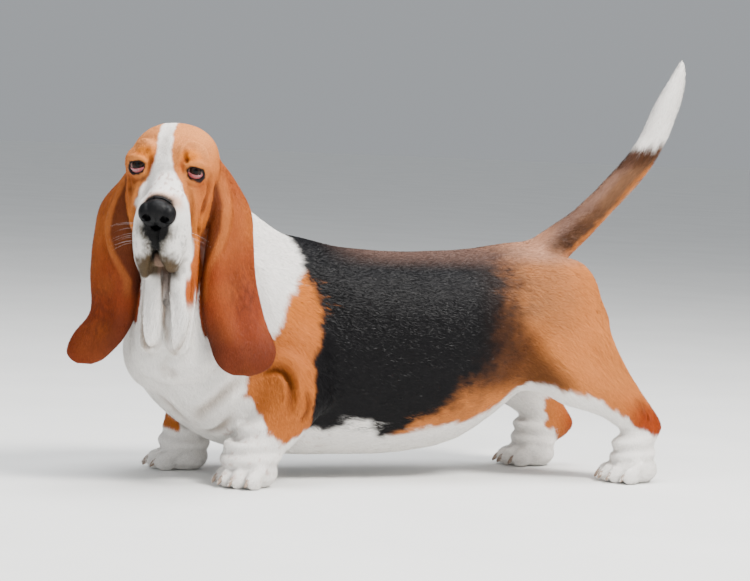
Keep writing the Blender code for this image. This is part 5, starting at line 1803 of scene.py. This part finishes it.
class Finishes:
    """Every finish of the hound and of the studio."""

    def __init__(self) -> None:
        """Makes the shared groups."""
        white = ("NodeSocketColor", (1, 1, 1, 1))
        self.mottle = shared_group(
            "mottle", {"Colour": white, "Scale": ("NodeSocketFloat", 200.0),
                       "Darkest": ("NodeSocketFloat", 0.9), "Lightest": ("NodeSocketFloat", 1.1)},
            {"Colour": "NodeSocketColor", "Height": "NodeSocketFloat"}, fill_mottle)
        self.sheen = shared_group(
            "hair_sheen", {"Colour": white, "Dark": ("NodeSocketFloat", 0.4),
                           "Pale": ("NodeSocketFloat", 0.8)},
            {"Roughness": "NodeSocketFloat"}, fill_sheen)

    def grained(self, finish: Finish, bump: float, distance: float, **mottle: object) -> Finish:
        """Gives a finish its mottled colour and its grain.

        Args:
            finish: The finish.
            bump: How strong its grain stands out.
            distance: How high the grain is, in metres.
            mottle: The inputs of the mottle group.

        Returns:
            The same finish.
        """
        mottled = finish.group(self.mottle, **mottle)
        raised = finish.add("ShaderNodeBump", {
            "Height": mottled.outputs["Height"], "Strength": bump, "Distance": distance})
        finish.feed(finish.shader, {"Base Color": mottled.outputs["Colour"],
                                    "Normal": raised.outputs["Normal"]})
        return finish

    def coat(self, name: str, scale: float, dark: float, light: float, rough: tuple[float, float],
             bump: float) -> Finish:
        """Hair, or the skin under it, in its markings.

        Args:
            name: The material's name.
            scale: How fine its mottling is.
            dark: How dark the mottling gets.
            light: How light it gets.
            rough: Roughness of dark and of pale hair.
            bump: How strong its grain stands out.

        Returns:
            The finish.
        """
        finish = Finish(name, Specular_IOR_Level=0.12)
        tint = finish.add("ShaderNodeAttribute", attribute_name="Tint").outputs["Color"]
        sheen = finish.group(self.sheen, Colour=tint, Dark=rough[0], Pale=rough[1])
        finish.feed(finish.shader, {"Roughness": sheen.outputs["Roughness"]})
        return self.grained(finish, bump, 0.0004, Colour=tint, Scale=scale, Darkest=dark, Lightest=light)

    def plain(self, name: str, colour: Point, scale: float, spread: float, bump: float, distance: float,
              **values: float) -> Finish:
        """A mottled, grained finish of one colour.

        Args:
            name: The material's name.
            colour: Its scene linear colour.
            scale: How fine its grain is.
            spread: How much its lightness varies.
            bump: How strong the grain stands out.
            distance: How high the grain is.
            values: The shader's plain values.

        Returns:
            The finish.
        """
        return self.grained(Finish(name, **values), bump, distance, Colour=(*colour, 1), Scale=scale,
                            Darkest=1 - spread, Lightest=1 + spread)

    def eye(self) -> Finish:
        """The eyeball: black pupil, dark brown iris, dark ring and reddened white, under a wet cornea."""
        finish = Finish("eye", Roughness=0.12, Coat_Weight=0.16, Coat_Roughness=0.03, IOR=1.12)
        angle = finish.add("ShaderNodeAttribute", attribute_name="Angle")
        ramp = finish.add("ShaderNodeValToRGB", {"Fac": angle.outputs["Fac"]})
        stops = ((0.0, (0.001, 0.001, 0.001)), (0.165, (0.002, 0.001, 0.001)), (0.20, (0.018, 0.007, 0.004)),
                 (0.36, (0.010, 0.005, 0.003)), (0.45, (0.003, 0.002, 0.002)), (0.50, (0.14, 0.07, 0.06)),
                 (0.66, (0.28, 0.14, 0.12)))
        elements = ramp.color_ramp.elements
        while len(elements) < len(stops):
            elements.new(0.5)
        for element, (position, colour) in zip(elements, stops):
            element.position = position
            element.color = (*colour, 1)
        mottled = finish.group(self.mottle, Colour=ramp.outputs["Color"], Scale=900.0, Darkest=0.8,
                               Lightest=1.2)
        finish.feed(finish.shader, {"Base Color": mottled.outputs["Colour"]})
        return finish


@dataclass(frozen=True)
class PhotoCamera:
    """The camera, set by where it stands round the hound and where a known place falls in the frame."""

    azimuth: float = -25.0
    elevation: float = 3.5
    roll: float = 2.7
    distance: float = 4.5
    focal_pixels: float = 2930.0
    frame_pixels: tuple[int, int] = (750, 581)
    aim: Point = (0.0, 0.0, 0.27)
    aim_pixel: tuple[float, float] = (402.0, 300.0)
    sensor: float = 36.0

    def build(self) -> Object:
        """Makes the camera and sets it as the scene's."""
        a, e, r = (radians(v) for v in (self.azimuth, self.elevation, self.roll))
        back = Vector((sin(a) * cos(e), -cos(a) * cos(e), sin(e)))
        level = Vector((cos(a), sin(a), 0))
        upright = back.cross(level)
        right = level * cos(r) + upright * sin(r)
        up = upright * cos(r) - level * sin(r)
        across = (self.aim_pixel[0] - self.frame_pixels[0] / 2) / self.focal_pixels
        rise = (self.frame_pixels[1] / 2 - self.aim_pixel[1]) / self.focal_pixels
        spot = (BODY @ Vector(self.aim)) + (back - right * across - up * rise) * self.distance
        data = bpy.data.cameras.new("camera")
        data.sensor_fit = "HORIZONTAL"
        data.sensor_width = self.sensor
        data.lens = self.focal_pixels / self.frame_pixels[0] * self.sensor
        data.clip_end = 200.0
        camera = placed("camera", data)
        camera.matrix_world = Matrix.Translation(spot) @ Matrix((right, up, back)).transposed().to_4x4()
        bpy.context.scene.camera = camera
        return camera


@dataclass(frozen=True)
class Studio:
    """A plain pale floor, soft lamps and an even sky of light."""

    floor_half: float = 30.0
    sky: float = 0.58

    def lamp(self, name: str, place: Point, power: float, size: float, colour: Point) -> None:
        """Hangs a square soft lamp that faces the hound."""
        data = bpy.data.lights.new(name, "AREA")
        data.energy = power
        data.size = size
        data.color = colour
        obj = placed(name, data)
        obj.location = place
        obj.rotation_mode = "QUATERNION"
        obj.rotation_quaternion = (Vector(place) - Vector((-0.1, 0, 0.25))).to_track_quat("Z", "Y")

    def build(self, finishes: Finishes) -> None:
        """Lays the floor and lights the hound."""
        deselect()
        bpy.ops.mesh.primitive_plane_add(size=2 * self.floor_half, location=(0, 0, 0))
        floor = bpy.context.active_object
        floor.name = "floor"
        finishes.plain("floor", (0.78, 0.78, 0.76), 3.0, 0.03, 0.05, 0.001, Roughness=0.85,
                       Specular_IOR_Level=0.2).dress(floor)
        self.lamp("key", (1.3, -2.7, 3.7), 470, 1.4, (1.0, 0.975, 0.94))
        self.lamp("fill", (-3.2, -2.2, 1.6), 40, 3.0, (0.95, 0.97, 1.0))
        self.lamp("top", (0.0, -0.2, 3.7), 190, 2.0, (0.97, 0.98, 1.0))
        world = bpy.data.worlds.new("studio")
        bpy.context.scene.world = world
        world.use_nodes = True
        sky = Graph(world.node_tree)
        place = sky.add("ShaderNodeTexCoord")
        parts = sky.add("ShaderNodeSeparateXYZ", {"Vector": place.outputs["Generated"]})
        rise = sky.add("ShaderNodeMapRange", {
            "Value": parts.outputs["Z"], "From Max": 0.6, "To Min": 0.76 * self.sky, "To Max": self.sky})
        sky.feed(world.node_tree.nodes["Background"], {
            "Color": (0.86, 0.90, 0.95, 1), "Strength": rise.outputs["Result"]})


def main() -> None:
    """Builds and dresses the whole hound, its studio and its camera."""
    logging.basicConfig(level=logging.INFO, format="%(name)s %(message)s")
    PhotoCamera().build()
    finishes = Finishes()
    Studio().build(finishes)
    skin = Skin().build()
    coat = Coat(skin, Markings())
    tufts = coat.build()
    finishes.coat("skin_in_markings", 420.0, 0.90, 1.08, (0.55, 0.85), 0.6).dress(skin)
    finishes.coat("coat_hair", 900.0, 0.92, 1.08, (0.42, 0.80), 0.1).dress(*tufts)
    eyes = (Eye(Side.LEFT, (0.93, 0.20, 0.22)), Eye(Side.RIGHT, (0.93, -0.02, 0.24)))
    finishes.eye().dress(*(eye.ball() for eye in eyes))
    finishes.plain("wet_haw", (0.27, 0.055, 0.065), 500.0, 0.15, 0.25, 0.0003, Roughness=0.18,
                   Coat_Weight=0.5, Coat_Roughness=0.05).dress(*(eye.haw() for eye in eyes))
    finishes.plain("lid_rim", (0.004, 0.003, 0.003), 900.0, 0.3, 0.3, 0.0002, Roughness=0.40,
                   Specular_IOR_Level=0.15, Coat_Weight=0.12,
                   Coat_Roughness=0.12).dress(*(eye.rims() for eye in eyes))
    finishes.plain("nose_leather", (0.0025, 0.0025, 0.003), 1500.0, 0.35, 0.8, 0.0005, Roughness=0.45,
                   Specular_IOR_Level=0.12, Coat_Weight=0.03,
                   Coat_Roughness=0.25).dress(NoseLeather().build())
    finishes.plain("claw_horn", (0.26, 0.19, 0.145), 350.0, 0.35, 0.25, 0.0003, Roughness=0.42,
                   Specular_IOR_Level=0.5).dress(*(foot.build() for foot in FEET))
    finishes.plain("whisker", (0.80, 0.78, 0.74), 900.0, 0.05, 0.05, 0.0001, Roughness=0.5,
                   Specular_IOR_Level=0.4).dress(Whiskers().build(coat.tree))


if __name__ == "__main__":
    main()
